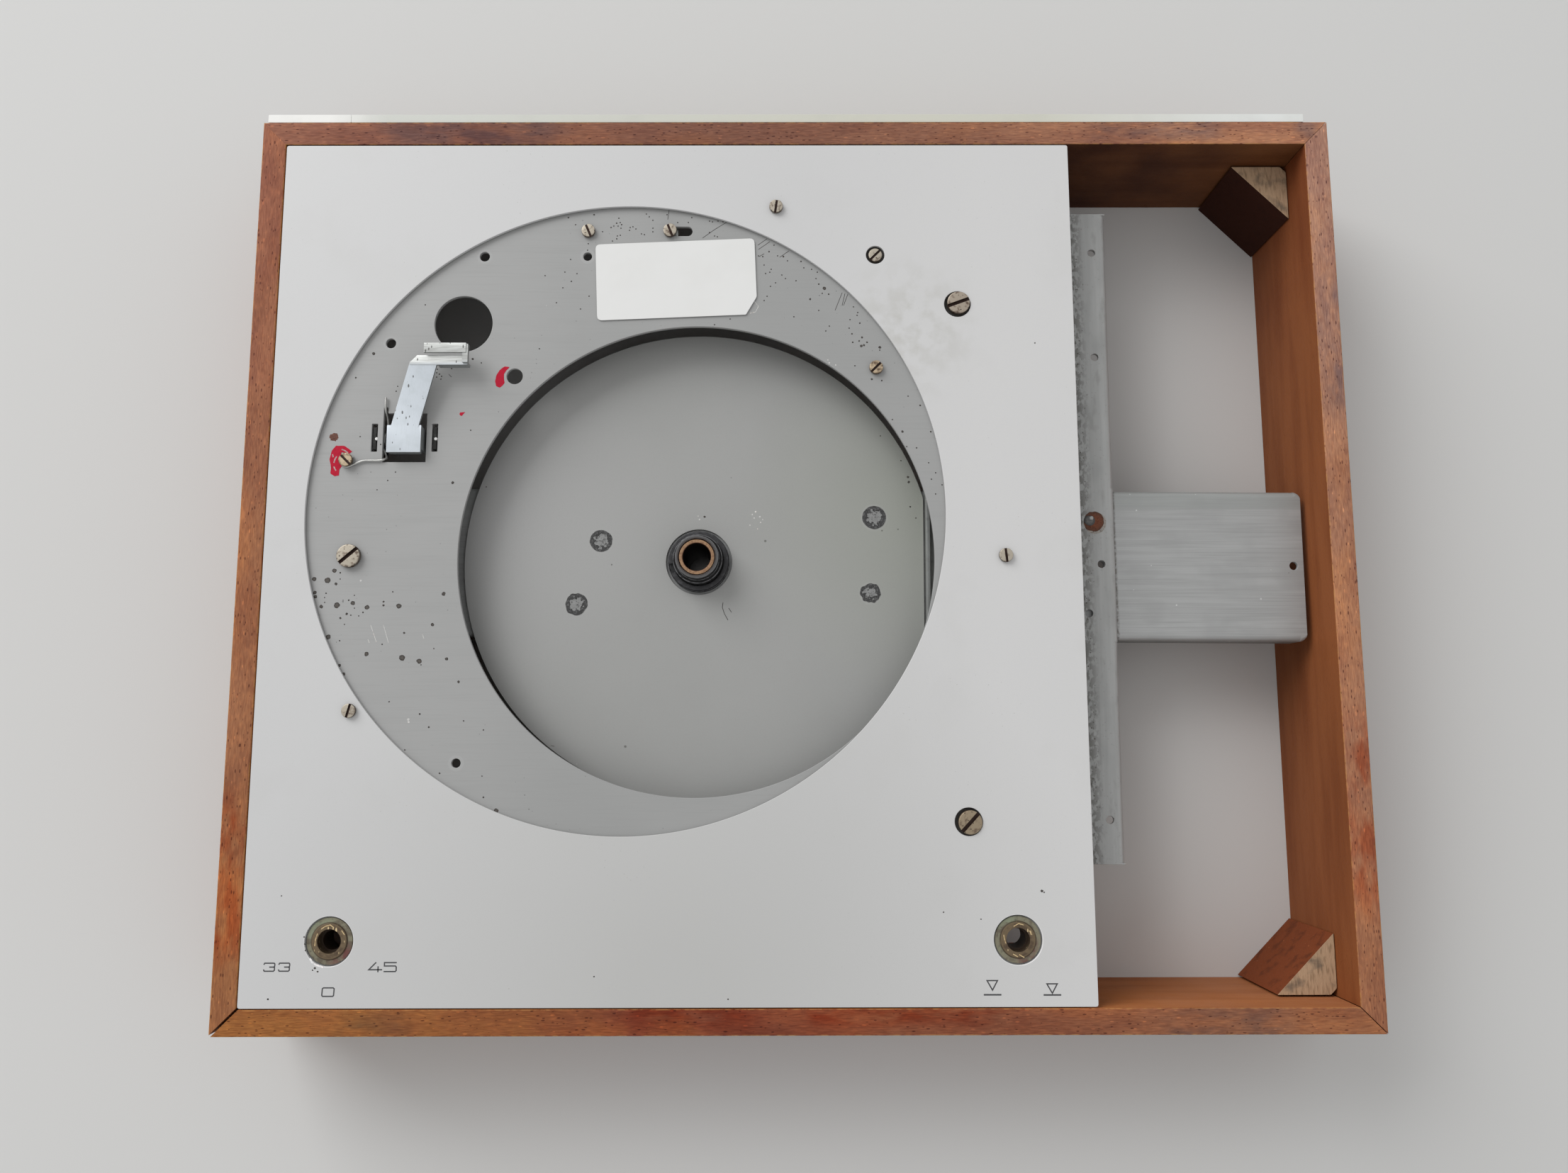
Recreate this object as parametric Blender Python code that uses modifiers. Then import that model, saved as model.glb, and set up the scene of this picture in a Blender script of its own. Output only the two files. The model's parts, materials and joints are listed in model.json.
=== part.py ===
"""A belt-drive turntable with a sprung sub-chassis, stripped to its plinth, plates and bearing.

The object's frame has +X to the right, +Y to the back and +Z up. Its origin is on the plane that the
plinth stands on, under the middle of the object. All lengths are in metres.
"""
import math

import bmesh
import bpy
import numpy as np
from mathutils import Matrix, Vector

# Gaps between pieces, and how far a cutter runs past what it cuts
GAP = 0.0003
OVERRUN = 0.002
WELD = 0.00001

# Platter's opening in the cover, and the margins of the cover round it
OPENING_RADIUS = 0.1134
MARGIN_LEFT = 0.0138
MARGIN_RIGHT = 0.0477
MARGIN_BACK = 0.0238
MARGIN_FRONT = 0.0562
COVER_THICK = 0.0012
COVER_CLEARANCE = 0.0004

# Plinth: four mitred boards round the cover and the arm board's bay
BAY_WIDTH = 0.0879
PLINTH_HEIGHT = 0.052
PLINTH_WALL = 0.0087
MITRE_GAP = 0.00045

# Three-cornered glue blocks, and two straight blocks under the plate's right end
BLOCK_LEG = 0.021
BLOCK_NIB = 0.0022
BLOCK_RECESS = 0.016
SUPPORT_LENGTH = 0.022
SUPPORT_DEPTH = 0.012
SUPPORT_INSET = 0.004

# Rail along the back of the plinth
RAIL_INSET_LEFT = 0.0014
RAIL_INSET_RIGHT = 0.0084
RAIL_THICK = 0.0031
RAIL_HEIGHT = 0.018
RAIL_DROP = 0.0005

# Chassis plate, a tray open at its right end, with the platter's well round the bearing
CHASSIS_SHEET = 0.0015
CHASSIS_INSET = 0.0025
WELL_BAND = 0.0291
WELL_SHIFT_SHARES = (0.2205, -0.1429)
KNOB_HOLE_RADIUS = 0.00825
BOLT_WINDOW_RADIUS = 0.0048
SCREW_WINDOW_RADIUS = 0.0034
SLOT_LENGTH = 0.0082
SLOT_RADIUS = 0.0018

# Motor's hole and screw holes: how far out from the well's edge, and at which angle about the bearing
MOTOR_OUT = 0.0363
MOTOR_ANGLE = math.radians(134.9)
MOTOR_HOLE_RADIUS = 0.0105
MOTOR_STUD_OFFSET = (0.0191, -0.0197)
MOTOR_STUD_HOLE_RADIUS = 0.0029
MOTOR_SCREW_OFFSETS = ((0.0069, 0.0256), (-0.0260, -0.0073))
MOTOR_SCREW_HOLE_RADIUS = 0.0018
SPARE_HOLES_OUT = (0.0339, 0.0252)
SPARE_HOLE_ANGLES = (math.radians(110.1), math.radians(221.3))
SPARE_HOLE_RADIUS = 0.0016

# Belt shifter: window in the plate, its pivot, and its sheet
WINDOW_OUT = 0.02895
WINDOW_ANGLE = math.radians(157.66)
WINDOW_WIDTH = 0.0155
WINDOW_LENGTH = 0.0179
NOTCH_WIDTH = 0.0015
NOTCH_LENGTH = 0.0022
EAR_SPACING = 0.02155
EAR_SLOT_WIDTH = 0.0021
EAR_SLOT_LENGTH = 0.0102
EAR_SHEET = 0.0012
EAR_LENGTH = 0.0084
EAR_DROP = 0.0085
STRAP_LENGTH = 0.003
PIVOT_SETBACK = 0.00095
PIVOT_DROP = 0.0055
PIVOT_RADIUS = 0.0010
PIVOT_LENGTH = 0.0238
LEVER_SHEET = 0.0010
LEVER_WIDTH = 0.0121
LEVER_FRONT = 0.0071
LEVER_BACK = 0.0027
LEVER_LIFT = 0.0035
LEVER_ASIDE = 0.0008
LEVER_CHEEK_DROP = 0.0022
LEVER_CHEEK_LENGTH = 0.0085
LEVER_LIP = 0.0032
ARM_WIDTH = 0.0098
ARM_LENGTH = 0.0221
ARM_ASIDE = 0.0071
ARM_RISE = 0.0035
FORK_REACH = 0.0205
FORK_FINGER = 0.0035
FORK_GAP = 0.0005
FORK_SKIRT = 0.0028
FORK_STEP = 0.0016
FORK_END = 0.0016
FORK_SETBACK = 0.0053
FORK_CHAMFER = 0.0026
TAIL_LENGTH = 0.0058
TAIL_WIDTH = 0.0040
TAIL_HOLE_RADIUS = 0.0009

# Return spring of the belt shifter, bent from one wire
RETURN_WIRE_RADIUS = 0.0004
RETURN_COIL_RADIUS = 0.0022
RETURN_COIL_PITCH = 0.00125
RETURN_COIL_TURNS = 2
RETURN_FREE_LEG = 0.0056
RETURN_HOOK_RADIUS = 0.00225
RETURN_HOOK_START = math.radians(25)
RETURN_HOOK_END = math.radians(300)
ANCHOR_OFFSET = (-0.01995, -0.00855)

# Rating label, stuck on a little askew
LABEL_WIDTH = 0.0582
LABEL_DEPTH = 0.0290
LABEL_THICK = 0.0002
LABEL_OUT = 0.0178
LABEL_ASIDE = -0.0080
LABEL_CORNER = 0.0016
LABEL_CUT = (0.0042, 0.0066)
LABEL_TURN = math.radians(2.3)

# Cheese-head screws and their nuts
SCREW_HEAD_RADIUS = 0.00248
SCREW_HEAD_HEIGHT = 0.0013
SCREW_RADIUS = 0.0015
SCREW_LENGTH = 0.0080
SCREW_SLOT = 0.0007
SCREW_SLOT_DEPTH = 0.0006
SCREW_HOLE_RADIUS = 0.0018
SCREW_NUT_FLATS = 0.0055
SCREW_NUT_HEIGHT = 0.0024
COVER_SCREWS_OUT = (0.0115, 0.0043, 0.0217)
COVER_SCREW_ANGLES = (math.radians(64.7), math.radians(216.8), math.radians(-7.0))
COVER_SCREW_TURNS = (math.radians(25), math.radians(80), math.radians(97))
CLAMP_SCREWS_OUT = (0.0428, 0.0368, 0.0098, 0.0440)
CLAMP_SCREW_ANGLES = (math.radians(108.53), math.radians(94.98), math.radians(46.8), math.radians(59.8))
CLAMP_SCREW_TURNS = (math.radians(60), math.radians(85), math.radians(-5), math.radians(-25))
ANCHOR_SCREW_TURN = math.radians(50)

# Knob bushes, with their shafts and knobs away
SELECTOR_INSET = 0.0296
LIFT_INSET = 0.0263
BUSH_INSET = 0.0218
BUSH_RADIUS = 0.0060
BUSH_BORE_RADIUS = 0.0040
BUSH_THROAT_RADIUS = 0.0033
BUSH_FLANGE_RADIUS = 0.0078
BUSH_FLANGE_THICK = 0.0005
BUSH_TIP_DROP = 0.0002
BUSH_LENGTH = 0.0130
BUSH_MOUTH_DEPTH = 0.0035
BUSH_NUT_FLATS = 0.0160
BUSH_NUT_HEIGHT = 0.0030

# Sub-chassis, set out from the bearing axis and hanging a little askew
SUB_TWIST = math.radians(-0.42)
SUB_SHEET = 0.0015
DISC_DROP = 0.0155
DISC_THICK = 0.0012
DISC_LAP = 0.0013
DISC_FLAT_CUT = 0.00345
DISC_HOLE_RADIUS = 0.0120
SPINE_WIDTH = 0.0555
SPINE_DEPTH = 0.0100
SPINE_END_INSET = 0.0137
SPINE_CLEARANCE = 0.0023
SPINE_EDGE_RADIUS = 0.0028
SPINE_CORNER_RADIUS = 0.0040
SPINE_HOLE_INSET = 0.0037
SPINE_END_HOLE_RADIUS = 0.0015
CROSSBAR_GAP = 0.00045
CROSSBAR_WIDTH = 0.0238
CROSSBAR_LENGTH = 0.2140
CROSSBAR_FLANGE = 0.0050
CROSSBAR_EDGE_RADIUS = 0.0016
ARMBAR_REACH = 0.0162
ARMBAR_WIDTH = 0.0240
ARMBAR_FRONT = -0.1073
ARMBAR_BACK = 0.1348
ARMBAR_FLANGE = 0.0065
ARMBAR_EDGE_RADIUS = 0.0022
ARMBAR_HOLE_INSETS = (0.0055, 0.0055, 0.0053, 0.0103, 0.0051)
ARMBAR_HOLE_PLACES = (0.1192, 0.0783, 0.0, -0.0181, -0.0918)
ARMBAR_HOLE_RADIUS = 0.0014

# Suspension: three long screws, each with a grommet, spring, cup and nut
LEFT_BOLT_OUT = 0.0380
CROSSBAR_BOLT_INSET = 0.0144
BOLT_HEAD_RADIUS = 0.0042
BOLT_HEAD_HEIGHT = 0.0019
BOLT_SLOT = 0.0011
BOLT_SLOT_DEPTH = 0.0010
BOLT_RADIUS = 0.0025
BOLT_HOLE_RADIUS = 0.0029
BOLT_FOOT = 0.0040
BOLT_SLOT_TURN = math.radians(40)
NUT_FLATS = 0.0080
NUT_HEIGHT = 0.0040
NUT_FOOT = 0.0060
CUP_RADIUS = 0.0105
CUP_WALL = 0.0010
CUP_HEIGHT = 0.0050
GROMMET_HOLE_RADIUS = 0.0056
GROMMET_BORE_RADIUS = 0.0041
GROMMET_LIP = 0.0012
GROMMET_TOP_RADIUS = 0.0076
GROMMET_FOOT_RADIUS = 0.0095
SPRING_WIRE_RADIUS = 0.00065
SPRING_TOP_RADIUS = 0.0072
SPRING_FOOT_RADIUS = 0.0084
SPRING_TURNS = 6

# Main bearing
RIM_DROP = 0.0032
RIM_RADIUS = 0.0077
RIM_CHAMFER = 0.0005
SHOULDER_RADIUS = 0.0089
SHOULDER_DROP = 0.0048
COLLAR_RADIUS = 0.0111
COLLAR_THICK = 0.0027
BARREL_RADIUS = 0.0089
SLEEVE_BORE_RADIUS = 0.0066
SLEEVE_FLARE = 0.0004
BARREL_FOOT = 0.0100
BUSHING_RADIUS = 0.0063
BUSHING_BORE_RADIUS = 0.0050
BUSHING_TIP_DROP = 0.0003
CLIP_INNER_RADIUS = 0.0092
CLIP_OUTER_RADIUS = 0.0108
CLIP_THICK = 0.0009
CLIP_MOUTH = math.radians(20.0)
CLIP_TURN = math.radians(196.0)
BEARING_NUT_FLATS = 0.0240
BEARING_NUT_HEIGHT = 0.0040
CAP_THICK = 0.0030
CAP_BOSS = 0.0022
PAD_RADIUS = 0.0060
PAD_HEIGHT = 0.0020

# Facets
BIG_STEPS = 80
BORE_STEPS = 24
SMALL_STEPS = 12
ARC_STEPS = 5
CURL_STEPS = 9

# Levels, from the plinth's foot up
COVER_TOP = PLINTH_HEIGHT
COVER_FOOT = COVER_TOP - COVER_THICK
CHASSIS_TOP = COVER_FOOT - GAP
CHASSIS_FOOT = CHASSIS_TOP - CHASSIS_SHEET
BLOCK_TOP = PLINTH_HEIGHT - BLOCK_RECESS
DISC_TOP = PLINTH_HEIGHT - DISC_DROP
DISC_FOOT = DISC_TOP - DISC_THICK
SPINE_TOP = DISC_FOOT - GAP
SPINE_FOOT = SPINE_TOP - SUB_SHEET
BAR_TOP = DISC_FOOT + SUB_SHEET
RIM_TOP = PLINTH_HEIGHT - RIM_DROP
PIVOT_Z = CHASSIS_TOP - PIVOT_DROP

# Plan: the cover's edges, the opening's middle and the bearing's axis
COVER_WIDTH = MARGIN_LEFT + 2 * OPENING_RADIUS + MARGIN_RIGHT
COVER_DEPTH = MARGIN_FRONT + 2 * OPENING_RADIUS + MARGIN_BACK
PLINTH_WIDTH = COVER_CLEARANCE + COVER_WIDTH + BAY_WIDTH + 2 * PLINTH_WALL
PLINTH_DEPTH = COVER_DEPTH + 2 * COVER_CLEARANCE + 2 * PLINTH_WALL
INNER_X = PLINTH_WIDTH / 2 - PLINTH_WALL
INNER_Y = PLINTH_DEPTH / 2 - PLINTH_WALL
COVER_LEFT = COVER_CLEARANCE - INNER_X
COVER_RIGHT = COVER_LEFT + COVER_WIDTH
COVER_BACK = COVER_DEPTH / 2
CHASSIS_RIGHT = COVER_RIGHT - CHASSIS_INSET
OPENING = (COVER_LEFT + MARGIN_LEFT + OPENING_RADIUS, COVER_BACK - MARGIN_BACK - OPENING_RADIUS)
BEARING = tuple(a + OPENING_RADIUS * share for a, share in zip(OPENING, WELL_SHIFT_SHARES))
WELL_RADIUS = OPENING_RADIUS - WELL_BAND

# Sub-chassis sizes that follow the well and the cover, measured from the bearing's axis
DISC_RADIUS = WELL_RADIUS + DISC_LAP
DISC_FLAT = DISC_RADIUS - DISC_FLAT_CUT
CROSSBAR_LEFT = DISC_FLAT + CROSSBAR_GAP
ARMBAR_RIGHT = COVER_RIGHT - BEARING[0] + ARMBAR_REACH
ARMBAR_HOLES = [(ARMBAR_RIGHT - inset, y) for inset, y in zip(ARMBAR_HOLE_INSETS, ARMBAR_HOLE_PLACES)]
SPINE_RIGHT = INNER_X - BEARING[0] - SPINE_CLEARANCE
LEFT_BOLT = (-WELL_RADIUS - LEFT_BOLT_OUT, 0)
BACK_BOLT = (CROSSBAR_LEFT + CROSSBAR_WIDTH / 2, CROSSBAR_LENGTH / 2 - CROSSBAR_BOLT_INSET)
FRONT_BOLT = (BACK_BOLT[0], -BACK_BOLT[1])
BOLTS = (LEFT_BOLT, BACK_BOLT, FRONT_BOLT)
SPINE_LEFT = -LEFT_BOLT[0] + SPINE_END_INSET


def beside(offset, start=BEARING):
    """A place in plan, an offset away from another one."""
    return (start[0] + offset[0], start[1] + offset[1])


def out_from(centre, radius, out, angle):
    """A place in plan, some way out from a round edge at an angle."""
    reach = radius + out
    return (centre[0] + reach * math.cos(angle), centre[1] + reach * math.sin(angle))


# Places in plan, from the plinth's middle
MOTOR = out_from(BEARING, WELL_RADIUS, MOTOR_OUT, MOTOR_ANGLE)
WINDOW_X, WINDOW_Y = out_from(BEARING, WELL_RADIUS, WINDOW_OUT, WINDOW_ANGLE)
PIVOT_Y = WINDOW_Y + PIVOT_SETBACK
LEVER_X = WINDOW_X + LEVER_ASIDE
ANCHOR_SCREW = beside(ANCHOR_OFFSET, (WINDOW_X, WINDOW_Y))
LABEL_CENTRE = beside((LABEL_ASIDE, WELL_RADIUS + LABEL_OUT))
BUSHES = {
    "selector": (COVER_LEFT + SELECTOR_INSET, BUSH_INSET - COVER_BACK),
    "arm_lift": (COVER_RIGHT - LIFT_INSET, BUSH_INSET - COVER_BACK),
}
COVER_SCREWS = [
    out_from(OPENING, OPENING_RADIUS, out, angle) for out, angle in zip(COVER_SCREWS_OUT, COVER_SCREW_ANGLES)
]
CLAMP_SCREWS = [
    out_from(BEARING, WELL_RADIUS, out, angle) for out, angle in zip(CLAMP_SCREWS_OUT, CLAMP_SCREW_ANGLES)
]
SPARE_HOLES = [
    out_from(BEARING, WELL_RADIUS, out, angle) for out, angle in zip(SPARE_HOLES_OUT, SPARE_HOLE_ANGLES)
]


def start_scene():
    """Clears the scene and makes the collections and the empties that the pieces hang from."""
    for old in list(bpy.data.objects):
        bpy.data.objects.remove(old)
    for name in ("turntable", "cutters"):
        bpy.context.scene.collection.children.link(bpy.data.collections.new(name))
    bpy.data.collections["cutters"].hide_render = True
    middle = empty("turntable_frame", (0, -(RAIL_THICK + GAP) / 2, 0))
    sub = empty("subchassis_frame", (*BEARING, 0), middle)
    sub.rotation_euler = (0, 0, SUB_TWIST)
    return middle, sub


def empty(name, place, parent=None):
    made = bpy.data.objects.new(name, None)
    bpy.data.collections["turntable"].objects.link(made)
    made.location = place
    made.parent = parent
    return made


def material(name, colour, roughness, metallic=0.0):
    made = bpy.data.materials.new(name)
    made.use_nodes = True
    shader = made.node_tree.nodes["Principled BSDF"]
    shader.inputs["Base Color"].default_value = (*colour, 1)
    shader.inputs["Roughness"].default_value = roughness
    shader.inputs["Metallic"].default_value = metallic
    return made


def settle(obj):
    """Replaces an object by the closed mesh that its curve or modifiers make."""
    bpy.context.view_layer.update()
    graph = bpy.context.evaluated_depsgraph_get()
    mesh = bpy.data.meshes.new_from_object(obj.evaluated_get(graph))
    work = bmesh.new()
    work.from_mesh(mesh)
    bmesh.ops.remove_doubles(work, verts=work.verts, dist=WELD)
    bmesh.ops.recalc_face_normals(work, faces=work.faces)
    work.to_mesh(mesh)
    work.free()
    made = bpy.data.objects.new(obj.name, mesh)
    bpy.data.collections["cutters"].objects.link(made)
    made.matrix_world = obj.matrix_world
    name = obj.name
    bpy.data.objects.remove(obj)
    made.name = name
    made.hide_render = True
    made.display_type = "WIRE"
    return made


def new_object(name, data):
    made = bpy.data.objects.new(name, data)
    bpy.data.collections["cutters"].objects.link(made)
    return made


def finish(obj, finish_material, parent, place=(0, 0, 0), turn=0.0):
    """Makes a raw shape a piece of the object: named collection, material, parent and place."""
    bpy.data.collections["cutters"].objects.unlink(obj)
    bpy.data.collections["turntable"].objects.link(obj)
    obj.hide_render = False
    obj.display_type = "TEXTURED"
    obj.data.materials.clear()
    obj.data.materials.append(finish_material)
    obj.data.shade_smooth()
    obj.data.set_sharp_from_angle(angle=math.radians(30))
    obj.parent = parent
    obj.location = place
    obj.rotation_euler = (0, 0, turn)
    return obj


def arc(x, y, radius, start, end, steps):
    """Points on an arc from one angle to another, both ends included."""
    angles = np.linspace(start, end, steps + 1)
    return [(x + radius * math.cos(a), y + radius * math.sin(a)) for a in angles]


def circle(x, y, radius, steps=SMALL_STEPS):
    return arc(x, y, radius, 0, 2 * math.pi, steps)[:-1]


def rectangle(left, front, right, back):
    return [(left, front), (right, front), (right, back), (left, back)]


def rounded(left, front, right, back, radius, steps=ARC_STEPS):
    """A rectangle with its four corners rounded."""
    quarter = math.pi / 2
    corners = ((right, back), (left, back), (left, front), (right, front))
    inward = ((-1, -1), (1, -1), (1, 1), (-1, 1))
    points = []
    for number, ((x, y), (in_x, in_y)) in enumerate(zip(corners, inward)):
        start = number * quarter
        points += arc(x + in_x * radius, y + in_y * radius, radius, start, start + quarter, steps)
    return points


def slot(left, right, y, radius):
    """A slot along X, between the middles of its round ends."""
    quarter = math.pi / 2
    right_end = arc(right, y, radius, -quarter, quarter, ARC_STEPS)
    return right_end + arc(left, y, radius, quarter, 3 * quarter, ARC_STEPS)


def hexagon(flats):
    return circle(0, 0, flats / math.sqrt(3), 6)


def flat(name, outlines, low, high):
    """A plate between two levels: the first outline is its edge, and the rest are holes or islands."""
    curve = bpy.data.curves.new(name, "CURVE")
    curve.dimensions = "2D"
    curve.fill_mode = "BOTH"
    curve.extrude = (high - low) / 2
    for outline in outlines:
        spline = curve.splines.new("POLY")
        spline.points.add(len(outline) - 1)
        for point, (x, y) in zip(spline.points, outline):
            point.co = (x, y, 0, 1)
        spline.use_cyclic_u = True
    made = settle(new_object(name, curve))
    made.data.transform(Matrix.Translation((0, 0, (high + low) / 2)))
    return made


def box(name, low, high):
    """A box between two corners, from a primitive cube."""
    work = bmesh.new()
    size = Vector(high) - Vector(low)
    middle = (Vector(high) + Vector(low)) / 2
    place = Matrix.Translation(middle) @ Matrix.Diagonal((*size, 1))
    bmesh.ops.create_cube(work, size=1, matrix=place)
    mesh = bpy.data.meshes.new(name)
    work.to_mesh(mesh)
    work.free()
    made = new_object(name, mesh)
    made.hide_render = True
    made.display_type = "WIRE"
    return made


def turned(name, profile, steps, closed=False):
    """A turned piece: (radius, height) points down its outer side, swept once round the Z axis."""
    mesh = bpy.data.meshes.new(name)
    edges = [(i, i + 1) for i in range(len(profile) - 1)]
    if closed:
        edges.append((len(profile) - 1, 0))
    mesh.from_pydata([(radius, 0, height) for radius, height in profile], edges, [])
    made = new_object(name, mesh)
    sweep = made.modifiers.new("sweep", "SCREW")
    sweep.steps = steps
    sweep.render_steps = steps
    sweep.use_merge_vertices = True
    sweep.merge_threshold = WELD
    return settle(made)


def combine(obj, other, operation):
    """Cuts, joins or intersects a shape with another one by an exact Boolean."""
    change = obj.modifiers.new(operation.lower(), "BOOLEAN")
    change.operation = operation
    change.object = other
    change.solver = "EXACT"
    made = settle(obj)
    bpy.data.objects.remove(other)
    return made


def cut(obj, other):
    return combine(obj, other, "DIFFERENCE")


def join(obj, other):
    return combine(obj, other, "UNION")


def turn_mesh(obj, angle, axis):
    obj.data.transform(Matrix.Rotation(angle, 4, axis))
    return obj


def move_mesh(obj, offset):
    obj.data.transform(Matrix.Translation(offset))
    return obj


def wire(name, points, radius):
    """A round wire through points, with filled ends."""
    curve = bpy.data.curves.new(name, "CURVE")
    curve.dimensions = "3D"
    curve.bevel_depth = radius
    curve.bevel_resolution = 1
    curve.use_fill_caps = True
    spline = curve.splines.new("POLY")
    spline.points.add(len(points) - 1)
    for point, place in zip(spline.points, points):
        point.co = (*place, 1)
    return settle(new_object(name, curve))


def least_gap(points, radius, apart):
    """The least space between a wire and itself, at points that are some way apart along it."""
    places = np.array(points)
    across = np.linalg.norm(places[:, None] - places[None], axis=2)
    number = np.arange(len(places))
    far = np.abs(number[:, None] - number[None]) > apart
    return across[far].min() - 2 * radius


def slotted_screw(name, head_radius, head_height, shank_radius, length, slot, slot_depth, seat):
    """A cheese-head screw whose head rests at a level, with its slot along X."""
    top = seat + head_height
    chamfer = head_height / 5
    profile = [
        (0, top), (head_radius - chamfer, top), (head_radius, top - chamfer), (head_radius, seat),
        (shank_radius, seat), (shank_radius, seat - length + chamfer),
        (shank_radius - chamfer, seat - length), (0, seat - length),
    ]
    blank = turned(name, profile, SMALL_STEPS)
    low = (-head_radius - OVERRUN, -slot / 2, top - slot_depth)
    high = (head_radius + OVERRUN, slot / 2, top + OVERRUN)
    return cut(blank, box(name + "_slot", low, high))


def make_plinth(frame, wood):
    half_x = PLINTH_WIDTH / 2
    half_y = PLINTH_DEPTH / 2
    for name, side in (("front", -1), ("back", 1)):
        outer = side * half_y
        inner = side * INNER_Y
        outline = [(-half_x, outer), (half_x, outer), (INNER_X, inner), (-INNER_X, inner)]
        finish(flat("plinth_" + name, [outline], 0, PLINTH_HEIGHT), wood, frame)
    outer_y = half_y - MITRE_GAP
    inner_y = INNER_Y - MITRE_GAP
    for name, side in (("left", -1), ("right", 1)):
        outer = side * half_x
        inner = side * INNER_X
        outline = [(outer, -outer_y), (outer, outer_y), (inner, inner_y), (inner, -inner_y)]
        finish(flat("plinth_" + name, [outline], 0, PLINTH_HEIGHT), wood, frame)


def make_blocks(frame, wood):
    """Four three-cornered blocks in the corners, and a straight one at the front and the back."""
    reach_x = INNER_X - GAP
    reach_y = INNER_Y - GAP - MITRE_GAP
    for name, side_x, side_y in (
        ("back_right", 1, 1), ("back_left", -1, 1), ("front_left", -1, -1), ("front_right", 1, -1),
    ):
        outline = [
            (side_x * (reach_x - BLOCK_NIB), side_y * reach_y),
            (side_x * (reach_x - BLOCK_LEG), side_y * reach_y),
            (side_x * reach_x, side_y * (reach_y - BLOCK_LEG)),
            (side_x * reach_x, side_y * (reach_y - BLOCK_NIB)),
        ]
        finish(flat("corner_block_" + name, [outline], 0, BLOCK_TOP), wood, frame)
    right = CHASSIS_RIGHT - SUPPORT_INSET
    for name, side in (("front", -1), ("back", 1)):
        near, far = sorted((side * reach_y, side * (reach_y - SUPPORT_DEPTH)))
        outline = rectangle(right - SUPPORT_LENGTH, near, right, far)
        finish(flat("support_block_" + name, [outline], 0, BLOCK_TOP), wood, frame)


def make_rear_rail(frame, white):
    top = PLINTH_HEIGHT - RAIL_DROP
    front = PLINTH_DEPTH / 2 + GAP
    half = PLINTH_WIDTH / 2
    low = (RAIL_INSET_LEFT - half, front, top - RAIL_HEIGHT)
    high = (half - RAIL_INSET_RIGHT, front + RAIL_THICK, top)
    finish(box("rear_lid_rail", low, high), white, frame)


def make_cover(frame, aluminium):
    holes = [circle(*OPENING, OPENING_RADIUS, BIG_STEPS)]
    holes += [circle(*place, SCREW_HOLE_RADIUS) for place in COVER_SCREWS]
    holes += [circle(*place, KNOB_HOLE_RADIUS, BORE_STEPS) for place in BUSHES.values()]
    holes += [circle(*beside(bolt), BOLT_WINDOW_RADIUS, BORE_STEPS) for bolt in (BACK_BOLT, FRONT_BOLT)]
    holes.append(circle(*CLAMP_SCREWS[-1], SCREW_WINDOW_RADIUS))
    edge = rectangle(COVER_LEFT, -COVER_BACK, COVER_RIGHT, COVER_BACK)
    finish(flat("cover_plate", [edge, *holes], COVER_FOOT, COVER_TOP), aluminium, frame)


def chassis_holes():
    """Every hole of the chassis plate, as outlines that don't touch."""
    holes = [circle(*BEARING, WELL_RADIUS, BIG_STEPS)]
    holes.append(circle(*MOTOR, MOTOR_HOLE_RADIUS, BORE_STEPS))
    holes += [circle(*beside(offset, MOTOR), MOTOR_SCREW_HOLE_RADIUS) for offset in MOTOR_SCREW_OFFSETS]
    holes.append(circle(*beside(MOTOR_STUD_OFFSET, MOTOR), MOTOR_STUD_HOLE_RADIUS))
    holes += [circle(*place, SPARE_HOLE_RADIUS) for place in SPARE_HOLES]
    first, slotted, *others = CLAMP_SCREWS
    round_places = (*COVER_SCREWS, first, *others, ANCHOR_SCREW)
    holes += [circle(*place, SCREW_HOLE_RADIUS) for place in round_places]
    slot_x, slot_y = slotted
    slot_end = slot_x - SCREW_HOLE_RADIUS + SLOT_LENGTH - SLOT_RADIUS
    holes.append(slot(slot_x, slot_end, slot_y, SLOT_RADIUS))
    holes += [circle(*beside(bolt), BOLT_HOLE_RADIUS) for bolt in BOLTS]
    holes += [circle(*place, BUSH_RADIUS + GAP, BORE_STEPS) for place in BUSHES.values()]
    holes.append(shifter_window())
    for side in (-1, 1):
        x = WINDOW_X + side * EAR_SPACING / 2
        half_x = EAR_SLOT_WIDTH / 2
        half_y = EAR_SLOT_LENGTH / 2
        holes.append(rectangle(x - half_x, WINDOW_Y - half_y, x + half_x, WINDOW_Y + half_y))
    return holes


def shifter_window():
    """The lever's window, with the narrow notch that its return spring comes up through."""
    left = WINDOW_X - WINDOW_WIDTH / 2
    right = WINDOW_X + WINDOW_WIDTH / 2
    front = WINDOW_Y - WINDOW_LENGTH / 2
    back = WINDOW_Y + WINDOW_LENGTH / 2
    notch_right = left + NOTCH_WIDTH
    notch_back = back + NOTCH_LENGTH
    return [
        (left, front), (right, front), (right, back), (notch_right, back), (notch_right, notch_back),
        (left, notch_back),
    ]


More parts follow.
